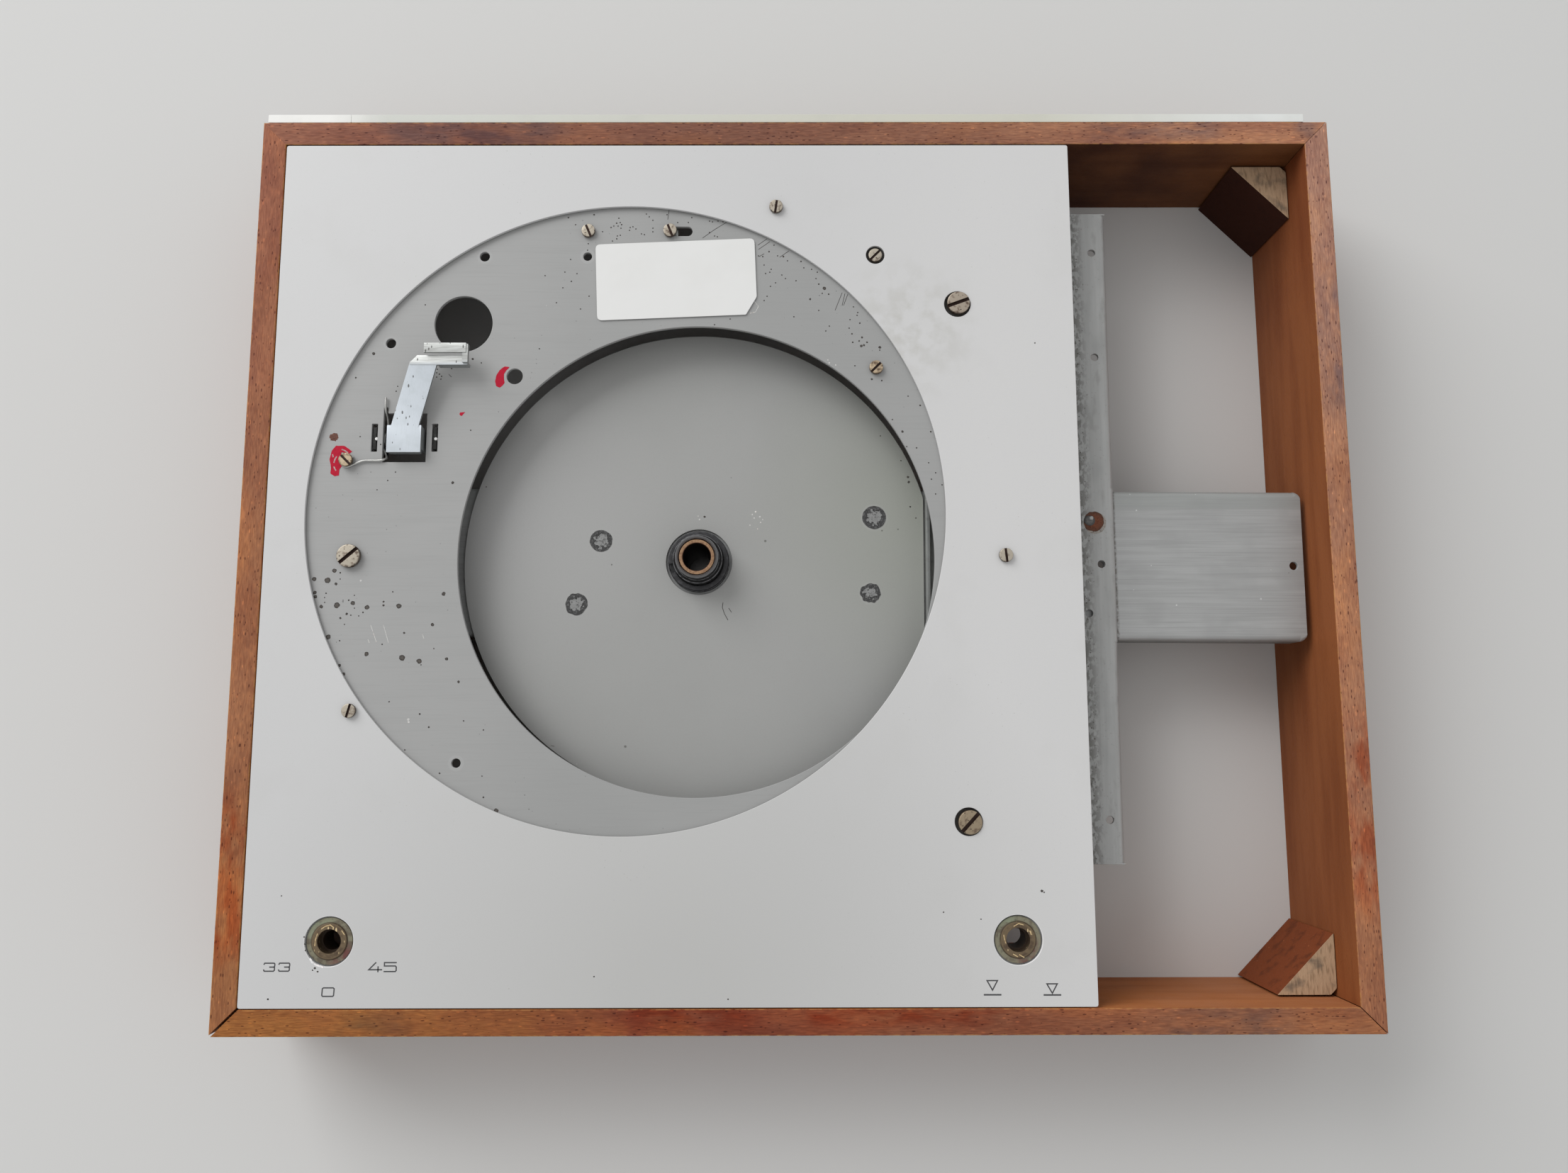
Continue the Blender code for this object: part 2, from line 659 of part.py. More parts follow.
def make_chassis(frame, paint):
    """A plate with its front, back and left edges folded down onto the blocks."""
    foot = BLOCK_TOP + GAP
    tray = box("chassis_plate", (COVER_LEFT, -COVER_BACK, foot), (CHASSIS_RIGHT, COVER_BACK, CHASSIS_TOP))
    low = (COVER_LEFT + CHASSIS_SHEET, CHASSIS_SHEET - COVER_BACK, foot - OVERRUN)
    high = (CHASSIS_RIGHT + OVERRUN, COVER_BACK - CHASSIS_SHEET, CHASSIS_FOOT)
    tray = cut(tray, box("chassis_hollow", low, high))
    holes = flat("chassis_holes", chassis_holes(), CHASSIS_FOOT - OVERRUN, CHASSIS_TOP + OVERRUN)
    finish(cut(tray, holes), paint, frame)


def make_label(frame, white):
    half_x = LABEL_WIDTH / 2
    half_y = LABEL_DEPTH / 2
    cut_x, cut_y = LABEL_CUT
    kept = rounded(-half_x, -half_y, half_x, half_y, LABEL_CORNER)[: 3 * (ARC_STEPS + 1)]
    low = CHASSIS_TOP + GAP
    outline = [*kept, (half_x - cut_x, -half_y), (half_x, cut_y - half_y)]
    label = flat("rating_label", [outline], low, low + LABEL_THICK)
    finish(label, white, frame, (*LABEL_CENTRE, 0), LABEL_TURN)


def make_screws(frame, nickel, zinc):
    """The small screws: three in the cover, four that clamp a thing to the plate, one for the spring."""
    wire_top = CHASSIS_TOP + 2 * GAP + 2 * RETURN_WIRE_RADIUS
    small_screw("anchor_screw", wire_top, nickel, frame, ANCHOR_SCREW, ANCHOR_SCREW_TURN)
    for name, place, turn in zip(("back", "left", "right"), COVER_SCREWS, COVER_SCREW_TURNS):
        small_screw("cover_screw_" + name, COVER_TOP + GAP, nickel, frame, place, turn)
    nut_top = CHASSIS_FOOT - GAP
    names = ("label_left", "label_right", "right_front", "right_back")
    for name, place, turn in zip(names, CLAMP_SCREWS, CLAMP_SCREW_TURNS):
        small_screw("clamp_screw_" + name, CHASSIS_TOP + GAP, nickel, frame, place, turn)
        outlines = [hexagon(SCREW_NUT_FLATS), circle(0, 0, SCREW_HOLE_RADIUS)]
        nut = flat("clamp_nut_" + name, outlines, nut_top - SCREW_NUT_HEIGHT, nut_top)
        finish(nut, zinc, frame, (*place, 0), turn)


def small_screw(name, seat, nickel, frame, place, turn):
    screw = slotted_screw(
        name, SCREW_HEAD_RADIUS, SCREW_HEAD_HEIGHT, SCREW_RADIUS, SCREW_LENGTH, SCREW_SLOT,
        SCREW_SLOT_DEPTH, seat,
    )
    finish(screw, nickel, frame, (*place, 0), turn)


def make_knob_bushes(frame, brass, zinc):
    """A threaded bush for each knob's shaft, flanged on the chassis, with a nut under it."""
    top = COVER_TOP - BUSH_TIP_DROP
    flange_foot = CHASSIS_TOP + GAP
    flange_top = flange_foot + BUSH_FLANGE_THICK
    foot = top - BUSH_LENGTH
    mouth = top - BUSH_MOUTH_DEPTH
    edge = BUSH_FLANGE_THICK / 2
    profile = [
        (BUSH_BORE_RADIUS, top), (BUSH_RADIUS - edge, top), (BUSH_RADIUS, top - edge),
        (BUSH_RADIUS, flange_top), (BUSH_FLANGE_RADIUS, flange_top), (BUSH_FLANGE_RADIUS, flange_foot),
        (BUSH_RADIUS, flange_foot), (BUSH_RADIUS, foot), (BUSH_THROAT_RADIUS, foot),
        (BUSH_THROAT_RADIUS, mouth), (BUSH_BORE_RADIUS, mouth),
    ]
    nut_top = CHASSIS_FOOT - GAP
    for name, place in BUSHES.items():
        finish(turned(name + "_bush", profile, BORE_STEPS, closed=True), brass, frame, (*place, 0))
        outlines = [hexagon(BUSH_NUT_FLATS), circle(0, 0, BUSH_RADIUS + GAP, BORE_STEPS)]
        nut = flat(name + "_bush_nut", outlines, nut_top - BUSH_NUT_HEIGHT, nut_top)
        finish(nut, zinc, frame, (*place, 0))


def make_lever(frame, zinc):
    """The belt shifter, set out from its pivot: a channel on the pin, a rising arm and a fork."""
    top = LEVER_LIFT + PIVOT_DROP
    front = -LEVER_FRONT
    back = LEVER_BACK
    half = LEVER_WIDTH / 2
    lever = box("belt_shifter", (-half, front, top - LEVER_SHEET), (half, back, top))
    cheek_front = back - LEVER_CHEEK_LENGTH
    for side in (-1, 1):
        inner, outer = sorted((side * half, side * (half - LEVER_SHEET)))
        low = (inner, cheek_front, -PIVOT_RADIUS - LEVER_CHEEK_DROP)
        lever = join(lever, box("cheek", low, (outer, back - GAP, top - LEVER_SHEET / 2)))
    low = (-half + LEVER_SHEET / 2, front, top - LEVER_LIP)
    lip = box("lip", low, (half - LEVER_SHEET / 2, front + LEVER_SHEET, top - LEVER_SHEET / 2))
    lever = join(lever, lip)
    tail_top = -PIVOT_RADIUS
    tail = box(
        "tail", (half - LEVER_SHEET, cheek_front, tail_top - LEVER_CHEEK_DROP - TAIL_LENGTH),
        (half, cheek_front + TAIL_WIDTH, tail_top),
    )
    lever = join(lever, tail)
    lever = join(lever, lever_arm(back, top))
    for piece in fork_pieces(back, top):
        lever = join(lever, piece)
    reach = half + OVERRUN
    pin_hole = flat("pin_hole", [circle(0, 0, PIVOT_RADIUS + GAP)], -reach, reach)
    lever = cut(lever, turn_mesh(pin_hole, math.pi / 2, "Y"))
    eye = turn_mesh(flat("eye", [circle(0, 0, TAIL_HOLE_RADIUS)], 0, LEVER_WIDTH), math.pi / 2, "Y")
    eye_z = tail_top - LEVER_CHEEK_DROP - TAIL_LENGTH + TAIL_WIDTH / 2
    lever = cut(lever, move_mesh(eye, (0, cheek_front + TAIL_WIDTH / 2, eye_z)))
    pivot = empty("shifter_pivot", (LEVER_X, PIVOT_Y, PIVOT_Z), frame)
    finish(lever, zinc, pivot)


def lever_arm(back, top):
    """The arm is a flat strip, sheared to the right and upwards on its way to the fork."""
    work = bmesh.new()
    bmesh.ops.create_cube(work, size=1)
    for corner in work.verts:
        along = corner.co.y + 1 / 2
        corner.co.x = corner.co.x * ARM_WIDTH + ARM_ASIDE * along
        corner.co.z = (corner.co.z - 1 / 2) * LEVER_SHEET + top + ARM_RISE * along
        corner.co.y = back - LEVER_SHEET + (ARM_LENGTH + LEVER_SHEET) * along
    mesh = bpy.data.meshes.new("arm")
    work.to_mesh(mesh)
    work.free()
    return new_object("arm", mesh)


def fork_pieces(back, top):
    """The fork's two fingers, which the belt runs between, with their skirts and closed right end."""
    foot = top + ARM_RISE - LEVER_SHEET
    near = back + ARM_LENGTH - LEVER_SHEET
    left = ARM_ASIDE - ARM_WIDTH / 2
    right = left + FORK_REACH
    far = near + FORK_FINGER
    upper_near = far + FORK_GAP
    upper_far = upper_near + FORK_FINGER
    upper_left = left + FORK_SETBACK
    upper_top = foot + LEVER_SHEET + FORK_STEP
    end_left = right - FORK_END
    shank_right = left + ARM_WIDTH
    half_sheet = LEVER_SHEET / 2
    plan = [
        (left, near), (right, near), (right, far), (left + FORK_CHAMFER, far),
        (left, far - FORK_CHAMFER),
    ]
    corners = {
        "lower_skirt": (
            (shank_right, near, foot - FORK_SKIRT), (right, near + LEVER_SHEET, foot + half_sheet),
        ),
        "fork_end": (
            (end_left, near + half_sheet, foot + half_sheet),
            (right + GAP, upper_far - GAP, upper_top - GAP),
        ),
        "upper_finger": (
            (upper_left, upper_near, upper_top - LEVER_SHEET), (right - GAP, upper_far, upper_top),
        ),
        "upper_skirt": (
            (upper_left + GAP, upper_far - LEVER_SHEET, foot - GAP),
            (right - 2 * GAP, upper_far - GAP, upper_top - half_sheet),
        ),
    }
    boxes = [box(name, low, high) for name, (low, high) in corners.items()]
    return [flat("lower_finger", [plan], foot, foot + LEVER_SHEET), *boxes]


def make_shifter_mount(frame, steel):
    """The bracket under the plate, whose ears stand in the side slots, and the pin across it."""
    reach = EAR_SPACING / 2
    half = EAR_SHEET / 2
    foot = PIVOT_Z - EAR_DROP
    front = WINDOW_Y - EAR_LENGTH / 2
    back = WINDOW_Y + EAR_LENGTH / 2
    low = (-reach - half, back - STRAP_LENGTH, foot)
    bracket = box("shifter_bracket", low, (reach + half, back, foot + EAR_SHEET))
    for side in (-1, 1):
        low = (side * reach - half, front, foot + GAP)
        bracket = join(bracket, box("ear", low, (side * reach + half, back - GAP, CHASSIS_TOP - GAP)))
    hole = flat("ear_holes", [circle(0, 0, PIVOT_RADIUS + GAP)], -EAR_SPACING, EAR_SPACING)
    turn_mesh(hole, math.pi / 2, "Y")
    bracket = cut(bracket, move_mesh(hole, (0, PIVOT_Y, PIVOT_Z)))
    finish(bracket, steel, frame, (WINDOW_X, 0, 0))
    pin = flat("shifter_pivot_pin", [circle(0, 0, PIVOT_RADIUS)], -PIVOT_LENGTH / 2, PIVOT_LENGTH / 2)
    finish(turn_mesh(pin, math.pi / 2, "Y"), steel, frame, (WINDOW_X, PIVOT_Y, PIVOT_Z))


def return_spring_points():
    """The wire's way: hook on the screw, leg, down into the window, curls, up the notch, free leg."""
    lay = CHASSIS_TOP + GAP + RETURN_WIRE_RADIUS
    left = WINDOW_X - WINDOW_WIDTH / 2
    front = WINDOW_Y - WINDOW_LENGTH / 2 + RETURN_WIRE_RADIUS
    back = WINDOW_Y + WINDOW_LENGTH / 2
    coil_right = left + NOTCH_WIDTH / 2
    coil_left = coil_right - RETURN_COIL_TURNS * RETURN_COIL_PITCH
    crown = PIVOT_Z + RETURN_COIL_RADIUS
    hook = arc(*ANCHOR_SCREW, RETURN_HOOK_RADIUS, RETURN_HOOK_START, RETURN_HOOK_END, CURL_STEPS)
    points = [(x, y, lay) for x, y in hook]
    hook_x, hook_y = hook[-1]
    under = CHASSIS_FOOT - 2 * RETURN_WIRE_RADIUS
    notch_middle = left + NOTCH_WIDTH / 2
    points += [
        (hook_x + RETURN_HOOK_RADIUS * 2, front, lay), (left - RETURN_WIRE_RADIUS, front, lay),
        (notch_middle, front + GAP, lay),
        (left + NOTCH_WIDTH, front + RETURN_COIL_RADIUS / 2, CHASSIS_TOP - CHASSIS_SHEET / 2),
        (notch_middle, front + RETURN_COIL_RADIUS, under),
        (coil_left, PIVOT_Y - RETURN_COIL_RADIUS, crown),
    ]
    curls = RETURN_COIL_TURNS * CURL_STEPS
    for number in range(curls + 1):
        angle = 2 * math.pi * number / CURL_STEPS
        x = coil_left + RETURN_COIL_PITCH * number / CURL_STEPS
        y = PIVOT_Y + RETURN_COIL_RADIUS * math.sin(angle)
        points.append((x, y, PIVOT_Z + RETURN_COIL_RADIUS * math.cos(angle)))
    points += [
        (coil_right, PIVOT_Y + RETURN_COIL_RADIUS, crown),
        (coil_right, back - RETURN_COIL_RADIUS / 2, CHASSIS_FOOT - RETURN_WIRE_RADIUS),
        (coil_right, back + NOTCH_LENGTH / 2, lay - RETURN_WIRE_RADIUS / 2),
        (coil_right, back + NOTCH_LENGTH, lay + RETURN_WIRE_RADIUS / 2),
        (coil_right, back + RETURN_FREE_LEG, lay + RETURN_WIRE_RADIUS / 2),
    ]
    return points


def make_return_spring(frame, steel):
    points = return_spring_points()
    gap = least_gap(points, RETURN_WIRE_RADIUS, CURL_STEPS // 2)
    print("return spring, least gap to itself:", gap)
    finish(wire("shifter_return_spring", points, RETURN_WIRE_RADIUS), steel, frame)


def make_suspension(frame, sub, nickel, zinc, rubber, steel, dark):
    """The three suspension points: long slotted screw, nut, cup, spring and grommet."""
    cup_foot = NUT_FOOT + NUT_HEIGHT + GAP
    spring_foot = cup_foot + CUP_WALL + GAP + SPRING_WIRE_RADIUS
    seat = CHASSIS_TOP + GAP
    cup_hole = BOLT_RADIUS + GAP
    cup_inner = CUP_RADIUS - CUP_WALL
    cup_profile = [
        (cup_inner, cup_foot + CUP_HEIGHT), (CUP_RADIUS, cup_foot + CUP_HEIGHT), (CUP_RADIUS, cup_foot),
        (cup_hole, cup_foot), (cup_hole, cup_foot + CUP_WALL), (cup_inner, cup_foot + CUP_WALL),
    ]
    plate_feet = (SPINE_FOOT, DISC_FOOT, DISC_FOOT)
    for name, place, plate_foot in zip(("left", "back", "front"), BOLTS, plate_feet):
        here = (*beside(place), 0)
        bolt = slotted_screw(
            "suspension_screw_" + name, BOLT_HEAD_RADIUS, BOLT_HEAD_HEIGHT, BOLT_RADIUS,
            seat - BOLT_FOOT, BOLT_SLOT, BOLT_SLOT_DEPTH, seat,
        )
        finish(bolt, nickel, frame, here, BOLT_SLOT_TURN)
        outlines = [hexagon(NUT_FLATS), circle(0, 0, BOLT_RADIUS + GAP)]
        nut = flat("suspension_nut_" + name, outlines, NUT_FOOT, NUT_FOOT + NUT_HEIGHT)
        finish(nut, zinc, frame, here)
        cup = turned("spring_cup_" + name, cup_profile, BORE_STEPS, closed=True)
        finish(cup, dark, frame, here)
        spring_top = plate_foot - 2 * GAP - GROMMET_LIP - SPRING_WIRE_RADIUS
        points = spring_points(spring_foot, spring_top)
        gap = least_gap(points, SPRING_WIRE_RADIUS, CURL_STEPS // 2)
        print("suspension spring, least gap to itself:", gap)
        finish(wire("suspension_spring_" + name, points, SPRING_WIRE_RADIUS), steel, frame, here)
        ring = grommet("spring_grommet_" + name, plate_foot)
        finish(ring, rubber, sub, (*place, 0))


def spring_points(low, high):
    """A slightly conical helix from its wide foot to its narrower top."""
    count = SPRING_TURNS * CURL_STEPS
    points = []
    for number in range(count + 1):
        share = number / count
        angle = 2 * math.pi * number / CURL_STEPS
        radius = SPRING_FOOT_RADIUS + (SPRING_TOP_RADIUS - SPRING_FOOT_RADIUS) * share
        points.append((radius * math.cos(angle), radius * math.sin(angle), low + (high - low) * share))
    return points


def grommet(name, plate_foot):
    """A rubber ring in the plate's hole, with a lip over it and a wider foot for the spring."""
    over = plate_foot + SUB_SHEET + GAP
    under = plate_foot - GAP
    neck = GROMMET_HOLE_RADIUS - GAP
    top = over + GROMMET_LIP
    foot = under - GROMMET_LIP
    profile = [
        (GROMMET_BORE_RADIUS, top), (GROMMET_TOP_RADIUS, top), (GROMMET_TOP_RADIUS, over),
        (neck, over), (neck, under), (GROMMET_FOOT_RADIUS, under), (GROMMET_FOOT_RADIUS, foot),
        (GROMMET_BORE_RADIUS, foot),
    ]
    return turned(name, profile, BORE_STEPS, closed=True)


def make_disc(sub, paint):
    """A disc with one flat side towards the crossbar."""
    edge_angle = math.acos(DISC_FLAT / DISC_RADIUS)
    edge = arc(0, 0, DISC_RADIUS, edge_angle, 2 * math.pi - edge_angle, BIG_STEPS)
    hole = circle(0, 0, DISC_HOLE_RADIUS, BORE_STEPS)
    finish(flat("subchassis_disc", [edge, hole], DISC_FOOT, DISC_TOP), paint, sub)


def lengthways(obj):
    """Lays an extruded section down, so that its outline stands in XZ and its length runs along Y."""
    return turn_mesh(obj, math.pi / 2, "X")


def channel(name, width, depth, radius, start, end):
    """A channel along Y with its top at zero, open downwards, and its long outer edges rounded."""
    half = width / 2
    quarter = math.pi / 2
    outline = [(half, -depth)]
    outline += arc(half - radius, -radius, radius, 0, quarter, ARC_STEPS)
    outline += arc(radius - half, -radius, radius, quarter, 2 * quarter, ARC_STEPS)
    outline += [(-half, -depth), (SUB_SHEET - half, -depth), (SUB_SHEET - half, -SUB_SHEET)]
    outline += [(half - SUB_SHEET, -SUB_SHEET), (half - SUB_SHEET, -depth)]
    return lengthways(flat(name, [outline], -end, -start))


def make_spine(sub, zinc):
    """A wide channel from the left spring point, under the disc, to its rounded right end."""
    spine = channel(
        "subchassis_spine", SPINE_WIDTH, SPINE_DEPTH, SPINE_EDGE_RADIUS, -SPINE_LEFT, SPINE_RIGHT,
    )
    turn_mesh(spine, -math.pi / 2, "Z")
    move_mesh(spine, (0, 0, SPINE_TOP))
    half = SPINE_WIDTH / 2
    plan = rounded(-SPINE_LEFT, -half, SPINE_RIGHT, half, SPINE_CORNER_RADIUS)
    foot = SPINE_TOP - SPINE_DEPTH
    limits = flat("spine_plan", [plan], foot - OVERRUN, SPINE_TOP + OVERRUN)
    spine = combine(spine, limits, "INTERSECT")
    holes = [circle(0, 0, BARREL_RADIUS + GAP, BORE_STEPS)]
    holes.append(circle(*LEFT_BOLT, GROMMET_HOLE_RADIUS, BORE_STEPS))
    holes.append(circle(SPINE_RIGHT - SPINE_HOLE_INSET, 0, SPINE_END_HOLE_RADIUS))
    holes.append(circle(*ARMBAR_HOLES[2], ARMBAR_HOLE_RADIUS))
    cutter = flat("spine_holes", holes, SPINE_FOOT - OVERRUN, SPINE_TOP + OVERRUN)
    finish(cut(spine, cutter), zinc, sub)


def make_crossbar(sub, zinc):
    """A channel with its flanges up, which carries the back and the front spring."""
    half = CROSSBAR_LENGTH / 2
    bar = channel(
        "spring_crossbar", CROSSBAR_WIDTH, CROSSBAR_FLANGE, CROSSBAR_EDGE_RADIUS, -half, half,
    )
    turn_mesh(bar, math.pi, "Y")
    move_mesh(bar, (CROSSBAR_LEFT + CROSSBAR_WIDTH / 2, 0, DISC_FOOT))
    holes = [circle(*place, GROMMET_HOLE_RADIUS, BORE_STEPS) for place in (BACK_BOLT, FRONT_BOLT)]
    cutter = flat("crossbar_holes", holes, DISC_FOOT - OVERRUN, BAR_TOP + OVERRUN)
    finish(cut(bar, cutter), zinc, sub)


def make_armboard_bar(sub, zinc):
    """An angle that the arm board screws to, with its flange cut away over the spine."""
    left = ARMBAR_RIGHT - ARMBAR_WIDTH
    foot = BAR_TOP - ARMBAR_FLANGE
    inner_radius = ARMBAR_EDGE_RADIUS - SUB_SHEET
    bend = (ARMBAR_RIGHT - ARMBAR_EDGE_RADIUS, BAR_TOP - ARMBAR_EDGE_RADIUS)
    quarter = math.pi / 2
    section = [(left, BAR_TOP), (left, DISC_FOOT)]
    section += arc(*bend, inner_radius, quarter, 0, ARC_STEPS)
    section += [(ARMBAR_RIGHT - SUB_SHEET, foot), (ARMBAR_RIGHT, foot)]
    section += arc(*bend, ARMBAR_EDGE_RADIUS, 0, quarter, ARC_STEPS)
    bar = lengthways(flat("armboard_bar", [section], -ARMBAR_BACK, -ARMBAR_FRONT))
    half = SPINE_WIDTH / 2 + 2 * GAP
    low = (left - OVERRUN, -half, foot - OVERRUN)
    bar = cut(bar, box("spine_notch", low, (ARMBAR_RIGHT + OVERRUN, half, DISC_FOOT)))
    holes = [circle(*place, ARMBAR_HOLE_RADIUS) for place in ARMBAR_HOLES]
    cutter = flat("armboard_holes", holes, DISC_FOOT - OVERRUN, BAR_TOP + OVERRUN)
    finish(cut(bar, cutter), zinc, sub)


def make_bearing(sub, black, bronze, steel, zinc):
    """The platter's bearing: sleeve, bushing, thrust pad, cap, clip and the nut under the spine."""
    collar_foot = SPINE_TOP + GAP
    collar_top = collar_foot + COLLAR_THICK
    shoulder = RIM_TOP - SHOULDER_DROP
    sleeve = [
        (SLEEVE_BORE_RADIUS + SLEEVE_FLARE, RIM_TOP), (RIM_RADIUS - RIM_CHAMFER, RIM_TOP),
        (RIM_RADIUS, RIM_TOP - RIM_CHAMFER), (RIM_RADIUS, shoulder), (SHOULDER_RADIUS, shoulder),
        (SHOULDER_RADIUS, collar_top), (COLLAR_RADIUS, collar_top), (COLLAR_RADIUS, collar_foot),
        (BARREL_RADIUS, collar_foot), (BARREL_RADIUS, BARREL_FOOT), (SLEEVE_BORE_RADIUS, BARREL_FOOT),
        (SLEEVE_BORE_RADIUS, RIM_TOP - SLEEVE_FLARE),
    ]
    finish(turned("bearing_sleeve", sleeve, BORE_STEPS, closed=True), black, sub)
    boss_top = BARREL_FOOT + CAP_BOSS
    pad_top = boss_top + GAP + PAD_HEIGHT
    top = RIM_TOP - BUSHING_TIP_DROP
    foot = pad_top + GAP
    bushing = [
        (BUSHING_BORE_RADIUS, top), (BUSHING_RADIUS, top), (BUSHING_RADIUS, foot),
        (BUSHING_BORE_RADIUS, foot),
    ]
    finish(turned("bearing_bushing", bushing, BORE_STEPS, closed=True), bronze, sub)
    pad = [(0, pad_top), (PAD_RADIUS, pad_top), (PAD_RADIUS, boss_top + GAP), (0, boss_top + GAP)]
    finish(turned("bearing_thrust_pad", pad, SMALL_STEPS), steel, sub)
    cap_top = BARREL_FOOT - GAP
    boss_radius = SLEEVE_BORE_RADIUS - GAP
    cap = [
        (0, boss_top), (boss_radius, boss_top), (boss_radius, cap_top), (BARREL_RADIUS, cap_top),
        (BARREL_RADIUS, cap_top - CAP_THICK), (0, cap_top - CAP_THICK),
    ]
    finish(turned("bearing_cap", cap, BORE_STEPS), black, sub)
    clip_start = CLIP_TURN + CLIP_MOUTH / 2
    clip_end = clip_start + 2 * math.pi - CLIP_MOUTH
    clip = arc(0, 0, CLIP_OUTER_RADIUS, clip_start, clip_end, BORE_STEPS)
    clip += arc(0, 0, CLIP_INNER_RADIUS, clip_end, clip_start, BORE_STEPS)
    clip_foot = collar_top + GAP
    finish(flat("bearing_clip", [clip], clip_foot, clip_foot + CLIP_THICK), black, sub)
    nut_top = SPINE_FOOT - GAP
    outlines = [hexagon(BEARING_NUT_FLATS), circle(0, 0, BARREL_RADIUS + GAP, BORE_STEPS)]
    finish(flat("bearing_nut", outlines, nut_top - BEARING_NUT_HEIGHT, nut_top), zinc, sub)


def main():
    frame, sub = start_scene()
    wood = material("mahogany_veneer", (0.30, 0.12, 0.065), 0.45)
    block_wood = material("block_wood", (0.16, 0.07, 0.035), 0.7)
    white = material("white_enamel", (0.80, 0.80, 0.78), 0.4)
    aluminium = material("anodised_aluminium", (0.60, 0.60, 0.59), 0.38, 1.0)
    grey_paint = material("grey_paint", (0.36, 0.37, 0.36), 0.5, 0.6)
    sub_paint = material("subchassis_paint", (0.34, 0.34, 0.33), 0.5, 0.6)
    nickel = material("dull_nickel", (0.45, 0.40, 0.33), 0.4, 1.0)
    zinc = material("zinc_plate", (0.42, 0.44, 0.43), 0.42, 1.0)
    bright_zinc = material("bright_zinc", (0.74, 0.78, 0.83), 0.28, 1.0)
    brass = material("worn_brass", (0.36, 0.31, 0.20), 0.4, 1.0)
    bronze = material("bearing_bronze", (0.48, 0.27, 0.16), 0.35, 1.0)
    black = material("burnished_steel", (0.045, 0.045, 0.05), 0.35, 0.9)
    steel = material("spring_steel", (0.30, 0.29, 0.28), 0.35, 1.0)
    rubber = material("black_rubber", (0.03, 0.03, 0.03), 0.8)
    make_plinth(frame, wood)
    make_blocks(frame, block_wood)
    make_rear_rail(frame, white)
    make_cover(frame, aluminium)
    make_chassis(frame, grey_paint)
    make_label(frame, white)
    make_screws(frame, nickel, zinc)
    make_knob_bushes(frame, brass, zinc)
    make_lever(frame, bright_zinc)
    make_shifter_mount(frame, steel)
    make_return_spring(frame, steel)
    make_suspension(frame, sub, nickel, zinc, rubber, steel, black)
    make_disc(sub, sub_paint)
    make_spine(sub, zinc)
    make_crossbar(sub, zinc)
    make_armboard_bar(sub, zinc)
    make_bearing(sub, black, bronze, steel, zinc)


main()
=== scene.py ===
# %% [markdown]
# # A stripped turntable, dressed round its solid model
#
# A belt-drive turntable without its platter, arm board and motor: a mitred mahogany plinth, a satin
# cover plate, the grey chassis plate in its opening and, deeper, the sprung sub-chassis with the
# platter's bearing. The solid model fixes every size and place. This file gives it finer surfaces and
# finishes, and moves nothing. X runs to the right, Y to the back and Z up from the table, in metres.

# %% Load the frame
import json

import bmesh
import bpy
import numpy as np
from mathutils import Euler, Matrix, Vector
from mathutils.geometry import tessellate_polygon

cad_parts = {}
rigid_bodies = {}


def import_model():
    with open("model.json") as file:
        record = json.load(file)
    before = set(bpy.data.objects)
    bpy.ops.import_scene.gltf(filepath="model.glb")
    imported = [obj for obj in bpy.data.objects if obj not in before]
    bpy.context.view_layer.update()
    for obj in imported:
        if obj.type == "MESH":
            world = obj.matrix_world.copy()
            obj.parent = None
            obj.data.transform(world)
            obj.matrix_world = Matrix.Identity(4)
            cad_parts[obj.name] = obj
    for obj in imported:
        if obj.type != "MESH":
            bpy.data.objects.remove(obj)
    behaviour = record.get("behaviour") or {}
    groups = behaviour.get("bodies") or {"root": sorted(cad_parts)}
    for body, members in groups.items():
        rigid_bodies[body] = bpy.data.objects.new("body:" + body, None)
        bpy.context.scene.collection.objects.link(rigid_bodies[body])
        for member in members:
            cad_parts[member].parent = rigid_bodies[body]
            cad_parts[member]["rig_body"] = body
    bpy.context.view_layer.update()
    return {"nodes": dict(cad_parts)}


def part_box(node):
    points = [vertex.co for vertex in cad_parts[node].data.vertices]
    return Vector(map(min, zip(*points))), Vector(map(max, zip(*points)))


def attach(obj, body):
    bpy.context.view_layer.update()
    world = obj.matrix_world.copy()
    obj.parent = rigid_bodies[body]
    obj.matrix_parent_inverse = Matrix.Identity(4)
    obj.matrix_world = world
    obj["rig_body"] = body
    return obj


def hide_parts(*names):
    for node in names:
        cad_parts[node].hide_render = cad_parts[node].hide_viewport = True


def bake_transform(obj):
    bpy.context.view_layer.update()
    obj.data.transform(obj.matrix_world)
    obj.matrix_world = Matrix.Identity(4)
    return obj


for leftover in list(bpy.data.objects):
    bpy.data.objects.remove(leftover)
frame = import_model()
MM = 0.001
TAU = 2 * np.pi


def low(node):
    return np.array(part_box(node)[0])


def high(node):
    return np.array(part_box(node)[1])


def middle(node):
    return (low(node) + high(node)) / 2


def levels(node):
    """The heights of a node's foot and top."""
    return low(node)[2], high(node)[2]


PLINTH_LOW = np.minimum(low("plinth_left"), low("plinth_front"))
PLINTH_HIGH = np.maximum(high("plinth_right"), high("plinth_back"))
PLINTH_MIDDLE = (PLINTH_LOW + PLINTH_HIGH) / 2
HALF_PLINTH = (PLINTH_HIGH - PLINTH_LOW) / 2
TOP = PLINTH_HIGH[2]
BEARING = middle("bearing_bushing")
SUSPENSION = ("left", "back", "front")
BUSHES = ("selector_bush", "arm_lift_bush")
print("frame:", len(frame["nodes"]), "nodes, top at", round(TOP / MM, 2), "mm")


